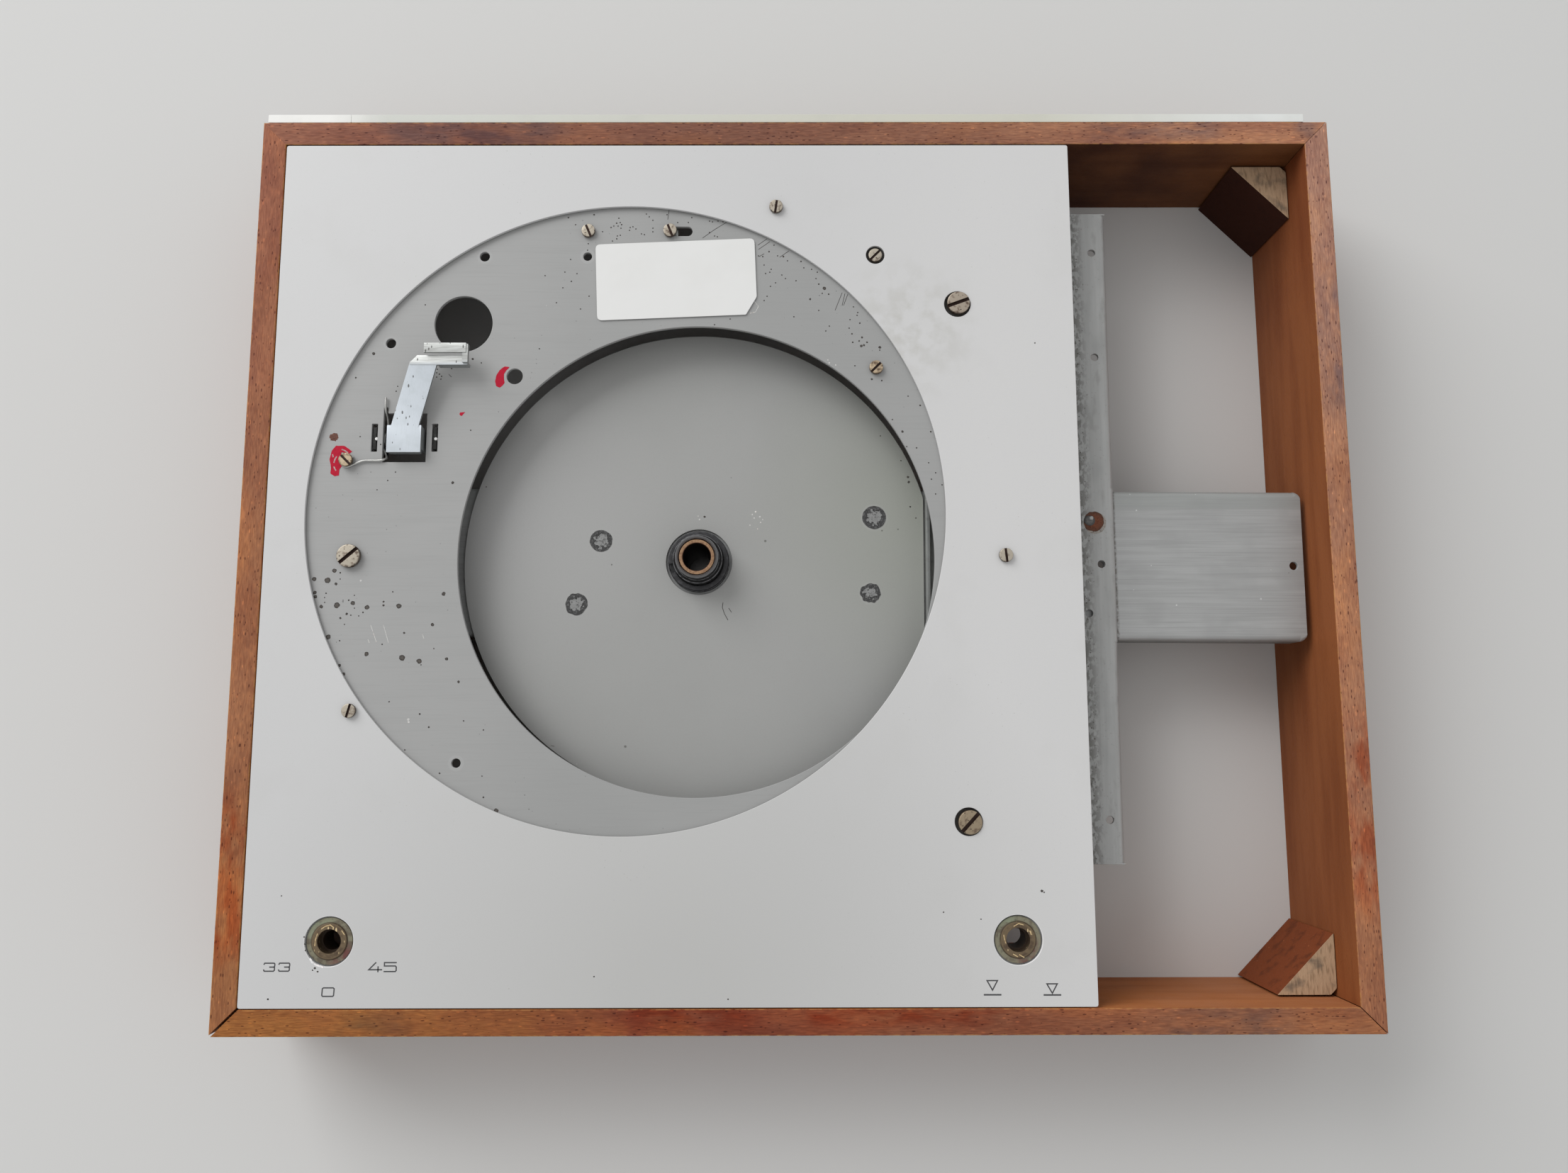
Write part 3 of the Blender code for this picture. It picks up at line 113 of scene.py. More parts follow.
def spot(*place):
    """A place in plan, given in millimetres from the middle of the plinth."""
    return PLINTH_MIDDLE[:2] + np.array(place) * MM


# %% [markdown]
# ## Camera
#
# The photograph looks almost straight down from 40 cm above the plinth. The camera's place and tilt
# were solved from the plinth's corners and from the levels of the plates below it.

# %% Camera
CAMERA_PLACE = (-0.00556, -0.0673, 0.45723)
CAMERA_TURN = (0.1335, -0.0021, -0.0017)
FOCAL_PIXELS = 1644
IMAGE_SIZE = np.array([2212, 1655])
SENSOR = 36


def add_object(name, data):
    made = bpy.data.objects.new(name, data)
    bpy.context.scene.collection.objects.link(made)
    return made


camera = add_object("camera", bpy.data.cameras.new("camera"))
bpy.context.scene.camera = camera
camera.data.sensor_width = SENSOR
camera.data.lens = FOCAL_PIXELS / IMAGE_SIZE[0] * SENSOR
camera.data.clip_start = 0.01
camera.location = CAMERA_PLACE
camera.rotation_mode = "ZYX"
camera.rotation_euler = CAMERA_TURN
print("camera lens", round(camera.data.lens, 2), "mm")


def seen(pixels, level):
    """Places at a level that the photograph shows at pixels: P + t d, where t = (level - P.z) / d.z."""
    across, down = np.moveaxis((np.array(pixels, float) - IMAGE_SIZE / 2) / FOCAL_PIXELS, -1, 0)
    turn = np.array(Euler(CAMERA_TURN, "ZYX").to_matrix())
    ray = np.stack([across, -down, -np.ones_like(across)], axis=-1) @ turn.T
    return CAMERA_PLACE[:2] + (level - CAMERA_PLACE[2]) / ray[..., 2:] * ray[..., :2]


# %% [markdown]
# ## Light and floor
#
# The shadows are soft and fall forwards and to the right, so one large area lamp stands behind on the
# left. The world fills in the rest. Together they render a level matt surface about as its colour is
# written, and glossy rays see a pale background, because metal needs something to reflect.

# %% Light and floor
AMBIENT = 0.58
BACKGROUND = 0.86
WINDOW_PLACE = (-2.0, 2.1, 1.9)
WINDOW_SIZE = 2.3
WINDOW_POWER = 78.0
FLOOR_HALF = 1.5
FLOOR_COLOUR = (0.66, 0.66, 0.65, 1)
WHITE = (1, 1, 1, 1)
bpy.context.scene.view_settings.view_transform = "Standard"


def add_node(tree, kind, inputs=None, **settings):
    """Adds a shader node with a link or a value for each input that is named."""
    made = tree.nodes.new("ShaderNode" + kind)
    for setting, value in settings.items():
        setattr(made, setting, value)
    for socket, value in (inputs or {}).items():
        if isinstance(value, bpy.types.NodeSocket):
            tree.links.new(value, made.inputs[socket])
        else:
            made.inputs[socket].default_value = value
    return made


world = bpy.data.worlds.new("soft_room")
bpy.context.scene.world = world
world.use_nodes = True
tree = world.node_tree
fill = add_node(tree, "Background", {"Color": WHITE, "Strength": AMBIENT}).outputs[0]
shown = add_node(tree, "Background", {"Color": WHITE, "Strength": BACKGROUND}).outputs[0]
ray = add_node(tree, "LightPath").outputs
bent = {0: ray["Is Glossy Ray"], 1: ray["Is Transmission Ray"]}
bent = add_node(tree, "Math", bent, operation="MAXIMUM").outputs[0]
pale = add_node(tree, "Math", {0: ray["Is Camera Ray"], 1: bent}, operation="MAXIMUM").outputs[0]
pick = add_node(tree, "MixShader", {0: pale, 1: fill, 2: shown}).outputs[0]
tree.links.new(pick, tree.nodes["World Output"].inputs["Surface"])

lamp = bpy.data.lights.new("window", "AREA")
lamp.shape = "SQUARE"
lamp.size = WINDOW_SIZE
lamp.energy = WINDOW_POWER
window = add_object("window", lamp)
window.location = WINDOW_PLACE
window.rotation_euler = (-Vector(WINDOW_PLACE)).to_track_quat("-Z", "Y").to_euler()

mesh = bpy.data.meshes.new("floor")
corners = [(x * FLOOR_HALF, y * FLOOR_HALF, 0) for x, y in ((-1, -1), (1, -1), (1, 1), (-1, 1))]
mesh.from_pydata(corners, [], [(0, 1, 2, 3)])
paper = bpy.data.materials.new("floor_paper")
paper.use_nodes = True
sockets = paper.node_tree.nodes["Principled BSDF"].inputs
sockets["Base Color"].default_value = FLOOR_COLOUR
sockets["Roughness"].default_value = 0.9
mesh.materials.append(paper)
add_object("floor", mesh)
print("light: world", AMBIENT, "and a window of", WINDOW_POWER, "W")

# %% [markdown]
# ## Surfaces from numbers
#
# Nearly every new piece is a grid of points worked out as one numpy array: a profile swept round an axis, or
# a section carried along a path. A grid could also be modelled by hand, but a formula keeps the piece
# in step with the solid model. Seams and poles are doubled points, and merging them closes the piece.
# Plates also have flat faces, which are cut into triangles round their holes.

# %% Mesh maker
MERGE = 2e-6
SHARP = 0.6


def dressed(name, mesh, finish, node, body=None):
    """Makes a mesh a piece with a finish, riding on a body and standing for a solid node."""
    mesh.materials.append(finish.material)
    piece = add_object(name, mesh)
    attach(piece, body or (frame["nodes"][node]["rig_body"] if node else "plinth"))
    if node:
        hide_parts(node)
    print(name, len(mesh.polygons), "faces")
    return piece


def make(name, parts, finish, node=None, body=None, wear=None, sharp=SHARP):
    """A closed piece from rounded grids and from flat fills, a fill being points and triangles."""
    points, faces = [], []
    start = 0
    for grid in (part for part in parts if isinstance(part, np.ndarray)):
        rows, columns = grid.shape[:2]
        number = start + np.arange(rows * columns).reshape(rows, columns)
        quads = np.stack([number[:-1, :-1], number[:-1, 1:], number[1:, 1:], number[1:, :-1]], axis=-1)
        points.append(grid.reshape(-1, 3))
        faces += quads.reshape(-1, 4).tolist()
        start += rows * columns
    rounded_faces = len(faces)
    for flat, triangles in (part for part in parts if isinstance(part, tuple)):
        points.append(flat)
        faces += [tuple(start + corner for corner in triangle) for triangle in triangles]
        start += len(flat)
    mesh = bpy.data.meshes.new(name)
    mesh.from_pydata(np.concatenate(points).tolist(), [], faces)
    mesh.polygons.foreach_set("use_smooth", np.arange(len(faces)) < rounded_faces)
    if wear is not None:
        worn = np.concatenate([np.ravel(share) for share in wear]).astype(np.float32)
        mesh.attributes.new("wear", "FLOAT", "POINT").data.foreach_set("value", worn)
    work = bmesh.new()
    work.from_mesh(mesh)
    bmesh.ops.remove_doubles(work, verts=work.verts, dist=MERGE)
    bmesh.ops.dissolve_degenerate(work, edges=work.edges, dist=MERGE / 10)
    bmesh.ops.recalc_face_normals(work, faces=work.faces)
    if not all(edge.is_manifold for edge in work.edges):
        print(name, "has open edges")
    work.to_mesh(mesh)
    work.free()
    rounded = np.empty(len(mesh.polygons), bool)
    mesh.polygons.foreach_get("use_smooth", rounded)
    mesh.set_sharp_from_angle(angle=sharp)
    mesh.polygons.foreach_set("use_smooth", rounded)
    return dressed(name, mesh, finish, node, body)


# %% [markdown]
# The helpers below make the curves that the grids follow. A corner is eased with a quadratic curve,
# which is simpler than an arc and stays between its two cuts.

# %% Profiles and paths
def eased(corners, cut, steps=4, closed=True):
    """Rounds each corner P between cuts A and B: (1 - t)^2 A + 2 t (1 - t) P + t^2 B."""
    corners = np.asarray(corners, float)
    cut = np.broadcast_to(cut, len(corners))[:, None]
    back = np.roll(corners, 1, axis=0) - corners
    ahead = np.roll(corners, -1, axis=0) - corners
    start = corners + back * np.minimum(cut / np.linalg.norm(back, axis=1, keepdims=True), 0.5)
    end = corners + ahead * np.minimum(cut / np.linalg.norm(ahead, axis=1, keepdims=True), 0.5)
    if not closed:
        start[0] = end[0] = corners[0]
        start[-1] = end[-1] = corners[-1]
    t = np.linspace(0, 1, steps + 1)[None, :, None]
    curve = (1 - t) ** 2 * start[:, None] + 2 * t * (1 - t) * corners[:, None] + t**2 * end[:, None]
    points = curve.reshape(-1, corners.shape[1])
    return points if closed else points[steps:-steps]


def looped(points):
    return np.concatenate([points, points[:1]])


def resampled(path, step):
    """The same path with its points an even step apart."""
    along = np.append(0, np.cumsum(np.linalg.norm(np.diff(path, axis=0), axis=1)))
    at = np.linspace(0, along[-1], max(2, round(along[-1] / step) + 1))
    return np.stack([np.interp(at, along, column) for column in path.T], axis=1)


def closed_ends(grid):
    """Adds the mean of the first and of the last row, as poles."""
    first = np.broadcast_to(grid[:1].mean(axis=1, keepdims=True), grid[:1].shape)
    last = np.broadcast_to(grid[-1:].mean(axis=1, keepdims=True), grid[:1].shape)
    return np.concatenate([first, grid, last])


def around(centre, radius, angle, height):
    """Points round an upright axis: (x + r cos a, y + r sin a, z)."""
    x = centre[0] + radius * np.cos(angle)
    y = centre[1] + radius * np.sin(angle)
    return np.stack(np.broadcast_arrays(x, y, height), axis=-1)


def turned(profile, centre, steps=96):
    """(radius, height) points swept round an upright axis."""
    radius, height = np.array(profile, float).T[..., None]
    return around(centre, radius, np.linspace(0, TAU, steps + 1), height)


def tube(path, radius, sides=14):
    """A round section along a path: P + r (cos a N + sin a B), N being turned no more than it must."""
    along = np.gradient(path, axis=0)
    along /= np.linalg.norm(along, axis=1, keepdims=True)
    normal = np.empty_like(path)
    last = np.cross(along[0], np.roll(along[0], 1) + (0.1, 0.2, 0.3))
    for number, direction in enumerate(along):
        last = last - direction * (last @ direction)
        last /= np.linalg.norm(last)
        normal[number] = last
    angle = np.linspace(0, TAU, sides + 1)[:, None]
    ring = np.cos(angle) * normal[:, None] + np.sin(angle) * np.cross(along, normal)[:, None]
    return closed_ends(path[:, None] + radius * ring)


def outward(points, closed=True):
    """Mitred normals (a + b) / (1 + a.b) of an anticlockwise outline or a path, a and b being its sides'."""
    run = np.diff(looped(points) if closed else points, axis=0)
    side = np.stack([run[:, 1], -run[:, 0]], axis=1) / np.linalg.norm(run, axis=1, keepdims=True)
    before = np.concatenate([side[-1:] if closed else side[:1], side])
    after = np.concatenate([side, side[-1:]])
    mitred = (before + after) / (1 + (before * after).sum(axis=1, keepdims=True))
    return mitred[:-1] if closed else mitred


def circle(centre, radius, steps=40):
    return around(centre, radius, np.linspace(0, TAU, steps, endpoint=False), 0)[:, :2]


def rectangle(left, front, right, back, corner):
    return eased([(left, front), (right, front), (right, back), (left, back)], corner)


def ripple(share, seed, waves, first=1):
    """A smooth random wave that closes on itself: the sum of sin(2 pi k s + phase) / sqrt(k)."""
    phase = np.random.default_rng(seed).uniform(0, TAU, waves)
    count = np.arange(first, first + waves)
    wave = np.sin(TAU * np.multiply.outer(share, count) + phase) / np.sqrt(count)
    return wave.sum(axis=-1) / np.sqrt(waves)


# %% [markdown]
# A plate is made from its outlines. Each outline carries a small section, the edge strip, and flat
# faces fill the space between the strips. How deep the strip's foot is makes a cut edge or a folded one.

# %% Plates
ARC = 5
EASE = 0.00016


def edge_strip(points, normals, top, sheet, ease, sense, bend=None, foot=None):
    """The edge of a sheet carried along its outline. Its section rounds over by bend, runs down to
    foot below the top face, and comes back under the sheet. A foot as deep as the sheet is a cut edge."""
    bend = np.broadcast_to(ease if bend is None else bend, len(points))
    foot = np.broadcast_to(sheet if foot is None else foot, len(points))
    quarter = np.linspace(0, np.pi / 2, ARC + 1)[:, None]
    sine, cosine = np.sin(quarter), np.cos(quarter)
    deep = np.minimum(bend, foot - ease)
    folded = foot > sheet + ease
    out = np.concatenate([
        bend * (sine - 1),
        ease * (cosine - 1) + 0 * bend,
        np.where(folded, ease * (1 - sine) - sheet, -ease - (bend - ease) * sine),
        np.where(folded, (bend - sheet) * cosine - bend, -bend),
    ])
    down = np.concatenate([
        deep * (1 - cosine),
        foot - ease * (1 - sine),
        np.where(folded, foot - ease * (1 - cosine), foot),
        np.where(folded, bend - (bend - sheet) * sine, foot),
    ])
    strip = np.concatenate([points + out[..., None] * normals, top + sense * down[..., None]], axis=-1)
    return np.concatenate([strip, strip[:, :1]], axis=1)


def plate(outline, holes, top, sheet, ease=EASE, normals=None, sense=-1, **folds):
    """The parts of a sheet whose face lies at a level, from anticlockwise outlines."""
    normals = outward(outline) if normals is None else normals
    strips = [edge_strip(outline, normals, top, sheet, ease, sense, **folds)]
    strips += [edge_strip(hole, -outward(hole), top, sheet, ease, sense) for hole in holes]
    loops = [strip[0, :-1] for strip in strips]
    triangles = tessellate_polygon([[Vector(point) for point in loop] for loop in loops])
    under = np.concatenate([strip[-1, :-1] for strip in strips])
    return [*strips, (np.concatenate(loops), triangles), (under, triangles)]


def folded_outline(rows):
    """Rows of point, normal, bend and foot as an outline and the folds that a plate takes."""
    points, normals, bends, feet = (np.array(column, float) for column in zip(*rows))
    return points, {"normals": normals, "bend": bends, "foot": feet}


# %% [markdown]
# ## Finishes
#
# A small class builds each finish as a node material and keeps the colour so far. Patterns read Object
# coordinates, so they stay on a piece that moves. Noise gives slow changes of colour, stretched noise
# gives grain and brush lines, and specks are the dots of a share of Voronoi cells. Masks are
# multiplied, and a tint lays its colour where they are one.

# %% Finish maker
class Finish:
    def __init__(self, name, colour, roughness, metallic=0.0, specular=0.5):
        self.material = bpy.data.materials.new(name)
        self.material.use_nodes = True
        self.tree = self.material.node_tree
        self.shader = self.tree.nodes["Principled BSDF"].inputs
        self.colour = (*colour, 1)
        self.shader["Base Color"].default_value = self.colour
        self.shader["Roughness"].default_value = roughness
        self.shader["Metallic"].default_value = metallic
        self.shader["Specular IOR Level"].default_value = specular
        self.place = self.node("TexCoord").outputs["Object"]

    def node(self, kind, inputs=None, **settings):
        return add_node(self.tree, kind, inputs, **settings)

    def math(self, operation, *values):
        return self.node("Math", dict(enumerate(values)), operation=operation).outputs[0]

    def times(self, first, *others):
        for other in others:
            first = self.math("MULTIPLY", first, other)
        return first

    def ramp(self, value, start, end, last=1.0, first=0.0):
        """Maps a value from start..end to first..last, with no overshoot."""
        values = {"Value": value, "From Min": start, "From Max": end, "To Min": first, "To Max": last}
        return self.node("MapRange", values).outputs["Result"]

    def axis(self, name, vector=None):
        return self.node("SeparateXYZ", {0: vector or self.place}).outputs[name]

    def facing_up(self):
        return self.axis("Z", self.node("NewGeometry").outputs["Normal"])

    def mark(self, name="wear"):
        return self.node("Attribute", attribute_name=name).outputs["Fac"]

    def stretched(self, scale, turn=0.0):
        values = {"Vector": self.place, "Scale": scale, "Rotation": (0, 0, turn)}
        return self.node("Mapping", values).outputs[0]

    def noise(self, size, detail=4.0, vector=None):
        values = {"Vector": vector or self.place, "Scale": 1 / size, "Detail": detail}
        return self.node("TexNoise", values).outputs[0]

    def clouds(self, size, start, end, last=1.0, detail=4.0, vector=None):
        return self.ramp(self.noise(size, detail, vector), start, end, last)

    def specks(self, size, radius, chance, vector=None):
        """Dots up to radius across, one in each cell of about size, in a share of the cells."""
        cells = self.node("TexVoronoi", {"Vector": vector or self.place, "Scale": 1 / size})
        parts = self.node("SeparateColor", {0: cells.outputs["Color"]})
        reach = self.times(parts.outputs[1], radius / size)
        inside = self.ramp(self.math("DIVIDE", cells.outputs["Distance"], reach), 1.15, 0.7)
        return self.times(inside, self.math("LESS_THAN", parts.outputs[0], chance))

    def near(self, place, radius, soft):
        """One inside an upright column round a place in plan, falling to zero over a soft share."""
        ends = {0: self.stretched((1, 1, 0)), 1: (place[0], place[1], 0)}
        apart = self.node("VectorMath", ends, operation="DISTANCE").outputs["Value"]
        return self.ramp(apart, radius, radius * (1 - soft))

    def within(self, corner, opposite, soft):
        """One inside an upright box over a rectangle in plan, falling to zero just outside it."""
        masks = []
        for name, ends in zip("XY", np.sort([corner, opposite], axis=0).T):
            place = self.axis(name)
            masks += [self.ramp(place, ends[0] - soft, ends[0]), self.ramp(place, ends[1] + soft, ends[1])]
        return self.times(*masks)

    def tint(self, colour, *masks, blend="MIX"):
        values = {0: self.times(*masks), 6: self.colour, 7: (*colour, 1)}
        self.colour = self.node("Mix", values, data_type="RGBA", blend_type=blend).outputs[2]
        self.tree.links.new(self.colour, self.shader["Base Color"])

    def stain(self, colour, *masks):
        """Multiplies by a colour where the masks are one."""
        self.tint(colour, *masks, blend="MULTIPLY")

    def rough(self, value):
        self.tree.links.new(value, self.shader["Roughness"])

    def relief(self, depth, height, less=None):
        """Bumps the surface by a height pattern, or by the difference of two, depth being in metres."""
        height = self.math("SUBTRACT", height, less) if less else height
        bump = self.node("Bump", {"Height": height, "Distance": depth, "Strength": 1.0})
        self.tree.links.new(bump.outputs[0], self.shader["Normal"])


# %% [markdown]
# ## Mahogany plinth
#
# Light has bleached the four veneered boards unevenly, so each passes through three tones along its
# length. Over these lie cloudy stains, fine fibres, short dark pores and pale flecks, which multiply
# the tone. Where the wear attribute is strong, on the rounded arrises, bare wood shows.

# %% Wood finish
BARE_WOOD = (0.5, 0.25, 0.085)


def wood(name, along, tones, inner_varnish_and_shade, stained):
    """Veneer whose grain runs along X (0) or Y (1), with a tone for its start, middle and end."""
    made = Finish(name, tones[0], 0.6, 0, 0.1)
    centre, half = PLINTH_MIDDLE[along], HALF_PLINTH[along]
    drift = made.math("ADD", made.axis("XY"[along]), made.ramp(made.noise(0.02), 0.3, 0.7, 0.03, -0.03))
    made.tint(tones[1], made.ramp(drift, centre - 0.9 * half, centre - 0.2 * half))
    made.tint(tones[2], made.ramp(drift, centre, centre + 0.85 * half))
    short, long = (
        made.stretched([1 / length if number == along else 1 for number in range(3)]) for length in (3, 9)
    )
    made.stain((0.72, 0.66, 0.72), made.clouds(0.011, 0.47, 0.66, 0.8, 5, short))
    made.stain((1.3, 1.2, 0.95), made.clouds(0.016, 0.52, 0.7, 0.7, 3, short))
    fibres = made.noise(0.00042, 5, long)
    made.stain((0.72, 0.66, 0.67), made.ramp(fibres, 0.4, 0.68))
    made.stain((1.3, 1.26, 1.16), made.clouds(0.0009, 0.5, 0.66, 0.6, 2, short))
    pores = made.specks(0.00075, 0.00024, 0.6, short)
    made.stain((0.36, 0.28, 0.34), pores, 0.9)
    made.stain((1.7, 1.6, 1.4), made.specks(0.0012, 0.0003, 0.35, short), 0.8)
    for *ends, soft, colour in stained:
        torn = made.clouds(0.005, 0.36, 0.56, 1, 5, short)
        made.stain(colour, made.within(*seen(ends, TOP), soft), torn)
    # The inner faces take two colours that are partly varnish and partly painted light and shade: dark where
    # an inner face looks away from the lamp, as on the back board, and orange where it faces it.
    inside = made.mark("inside")
    made.tint(inner_varnish_and_shade[0], inside)
    made.tint(inner_varnish_and_shade[1], inside, made.ramp(drift, centre + 0.45 * half, centre + 0.95 * half))
    made.stain((0.74, 0.66, 0.62), inside, made.clouds(0.007, 0.42, 0.68, 0.8, 4, long))
    made.tint(BARE_WOOD, made.mark(), made.clouds(0.0022, 0.42, 0.6, 1, 5))
    made.relief(0.0001, fibres, made.times(pores, 0.8))
    return made


# %% [markdown]
# A board is one closed section, a tall rectangle with eased corners, carried along the board. A point
# further in stops earlier, which makes the mitre. A smooth random wave chips the top arrises. The
# plinth's corners have opened unevenly, so each has a gap of its own.

# %% Boards
BOARD_EASE = 0.00045
BOARD_STEP = 0.0008
CHIP = 0.00014
WALL = high("plinth_left")[0] - PLINTH_LOW[0]


def on_corners(count):
    """One in the middle of each eased corner of a looped profile, falling to zero at its ends."""
    share = np.linspace(0, 1, 5)
    return looped(np.tile(4 * share * (1 - share), count))


def board(name, along, side, gaps, finish):
    """Section points (inward, up) carried along an axis, each to its own mitred end."""
    inward, up = looped(eased([(0, 0), (WALL, 0), (WALL, TOP), (0, TOP)], BOARD_EASE)).T
    half, edge = HALF_PLINTH[along], (PLINTH_LOW if side < 0 else PLINTH_HIGH)[1 - along]
    share = np.linspace(0, 1, round(2 * half / BOARD_STEP) + 1)[:, None]
    start, end = inward - half + gaps[0], half - inward - gaps[1]
    wave = np.clip(ripple(share, len(name) + along, 60, 3) - 0.1, 0, 1.2)
    chips = CHIP * wave * (up > TOP / 2) * on_corners(4)
    place = [None, None, up - chips]
    place[along] = start + (end - start) * share + PLINTH_MIDDLE[along]
    place[1 - along] = edge - side * (inward + chips * np.where(inward > WALL / 2, -1, 1))
    grid = closed_ends(np.stack(place, axis=-1))
    wear = np.broadcast_to(np.where(inward > WALL / 2, 0.55, 1.0) * on_corners(4), grid.shape[:2])
    piece = make(name, [grid], finish, name.replace("board", "plinth"), wear=[wear])
    points = np.empty(3 * len(piece.data.vertices), np.float32)
    piece.data.vertices.foreach_get("co", points)
    points = points.reshape(-1, 3)
    inner = np.abs(points[:, 1 - along] - edge) > WALL - BOARD_EASE / 4
    inner = (inner & (points[:, 2] < TOP - BOARD_EASE / 2)).astype(np.float32)
    piece.data.attributes.new("inside", "FLOAT", "POINT").data.foreach_set("value", inner)


# %% [markdown]
# Each row of the table is a board: its axis, its side, the gaps at its ends, the varnish inside with
# its painted light and shade, the three tones and the stains on its top, each between two pixels of
# the photograph.

# %% Board table
FRONT_LEFT, FRONT_RIGHT, BACK_RIGHT, BACK_LEFT = 0.0006, 0.00022, 0.0001, 0.00002
ORANGE = (0.34, 0.115, 0.03)
GREY = (0.62, 0.72, 0.95)
RED = (0.85, 0.52, 0.42)
BOARDS = {
    "front": (
        0, -1, (FRONT_LEFT, FRONT_RIGHT), ((0.42, 0.142, 0.04), (0.44, 0.175, 0.075)),
        ((0.355, 0.14, 0.042), (0.23, 0.066, 0.034), (0.33, 0.14, 0.072)),
        (((490, 1446), (560, 1462), 0.006, GREY), ((1150, 1420), (1440, 1436), 0.004, RED),
         ((900, 1418), (1050, 1430), 0.01, RED), ((1660, 1440), (1800, 1456), 0.008, GREY)),
    ),
    "back": (
        # The back board's inner faces are nearly black: painted shade, and stain.
        0, 1, (BACK_LEFT, BACK_RIGHT), ((0.05, 0.017, 0.01), (0.17, 0.065, 0.024)),
        ((0.33, 0.14, 0.088), (0.23, 0.104, 0.07), (0.47, 0.225, 0.13)),
        (((1560, 176), (1700, 186), 0.01, GREY), ((1835, 176), (1850, 190), 0.004, GREY),
         ((560, 182), (760, 192), 0.014, GREY)),
    ),
    "left": (
        1, -1, (FRONT_LEFT, BACK_LEFT), (ORANGE, ORANGE),
        ((0.375, 0.16, 0.068), (0.37, 0.16, 0.08), (0.36, 0.142, 0.082)),
        (((310, 1150), (330, 1330), 0.012, RED),),
    ),
    "right": (
        1, 1, (FRONT_RIGHT, BACK_RIGHT), ((0.27, 0.088, 0.03), (0.23, 0.07, 0.026)),
        ((0.395, 0.172, 0.088), (0.415, 0.2, 0.118), (0.45, 0.245, 0.172)),
        (((1880, 420), (1895, 560), 0.01, GREY), ((1915, 1050), (1935, 1250), 0.014, RED)),
    ),
}
for name, (along, side, gaps, inner_varnish_and_shade, tones, stained) in BOARDS.items():
    board("board_" + name, along, side, gaps, wood("veneer_" + name, along, tones, inner_varnish_and_shade, stained))

# %% [markdown]
# ## Glue blocks
#
# Softwood blocks are glued into the corners, and two more carry the right end of the chassis. Their
# sawn tops are pale and smeared, and their sides are stained reddish and darken nearly to black
# towards the back, partly stain and partly painted shade. One material does both: it looks at how
# far the face points up and how far back it is.

# %% Blocks
SAWN = (0.5, 0.35, 0.225)
STAIN = (0.205, 0.055, 0.021)
BACK_SHADE_AND_STAIN = (0.03, 0.011, 0.008)
BLOCK_EASE = 0.0005
BLOCK_NIB = 0.0022

block_wood = Finish("block_wood", STAIN, 0.8, 0, 0.08)
block_wood.tint((0.115, 0.034, 0.016), block_wood.clouds(0.004, 0.52, 0.68, 0.8, 6))
block_wood.tint((0.36, 0.12, 0.05), block_wood.specks(0.0016, 0.0004, 0.4))
# Stain and painted shade: the sides darken nearly to black towards the back.
block_wood.tint(BACK_SHADE_AND_STAIN, block_wood.ramp(block_wood.axis("Y"), -0.05, 0.05, 0.93))
fibres = block_wood.noise(0.0009, 6, block_wood.stretched((1, 1 / 5, 1), 0.7))
sawn_top = block_wood.ramp(block_wood.facing_up(), 0.6, 0.85)
block_wood.tint(SAWN, sawn_top)
block_wood.tint((0.215, 0.145, 0.085), sawn_top, block_wood.ramp(fibres, 0.5, 0.7, 0.7))
block_wood.tint((0.155, 0.125, 0.095), sawn_top, block_wood.clouds(0.007, 0.52, 0.66, 0.75, 5))
block_wood.relief(0.00025, fibres)


def block(node, corners):
    foot, top = levels(node)
    parts = plate(eased(corners, BLOCK_EASE), [], top, top - foot, BLOCK_EASE / 4)
    make(node + "_sawn", parts, block_wood, node)


for side_y, end in ((1, "back"), (-1, "front")):
    for side_x, hand in ((1, "right"), (-1, "left")):
        node = f"corner_block_{end}_{hand}"
        (free_x, wall_x), (free_y, wall_y) = (
            (near, far)[::side] for near, far, side in zip(low(node), high(node), (side_x, side_y))
        )
        corners = [
            (free_x, wall_y), (wall_x, free_y), (wall_x, wall_y - side_y * BLOCK_NIB),
            (wall_x - side_x * BLOCK_NIB, wall_y),
        ]
        block(node, corners[:: side_x * side_y])
    node = f"support_block_{end}"
    near, far = low(node), high(node)
    block(node, [near[:2], (far[0], near[1]), far[:2], (near[0], far[1])])

# %% [markdown]
# ## Lid rail
#
# A white enamelled strip runs along the back of the plinth. It is whiter at both ends and yellowed
# between, and is made of two lengths that meet in a fine joint near the left end.

# %% Rail
JOINT = spot(-164.9, 0)[0]
JOINT_HALF = 0.00003

enamel = Finish("rail_enamel", (0.635, 0.65, 0.605), 0.4, 0, 0.3)
enamel.tint((0.64, 0.635, 0.545), enamel.ramp(enamel.axis("X"), -0.13, 0.02, 0.8))
enamel.tint((0.78, 0.8, 0.78), enamel.ramp(enamel.axis("X"), 0.09, 0.17))
enamel.tint((0.88, 0.88, 0.85), enamel.ramp(enamel.axis("X"), JOINT + 0.014, JOINT - 0.008))
enamel.tint((0.52, 0.52, 0.48), enamel.clouds(0.012, 0.5, 0.8, 0.25))
enamel.tint((0.35, 0.34, 0.3), enamel.specks(0.004, 0.0002, 0.25))
enamel.relief(0.00004, enamel.noise(0.004))
near, far = low("rear_lid_rail"), high("rear_lid_rail")
rail = []
for left, right in ((near[0], JOINT - JOINT_HALF), (JOINT + JOINT_HALF, far[0])):
    rail += plate(rectangle(left, near[1], right, far[1], 0.0003), [], far[2], far[2] - near[2], 0.0001)
make("rail_enamelled", rail, enamel, "rear_lid_rail")
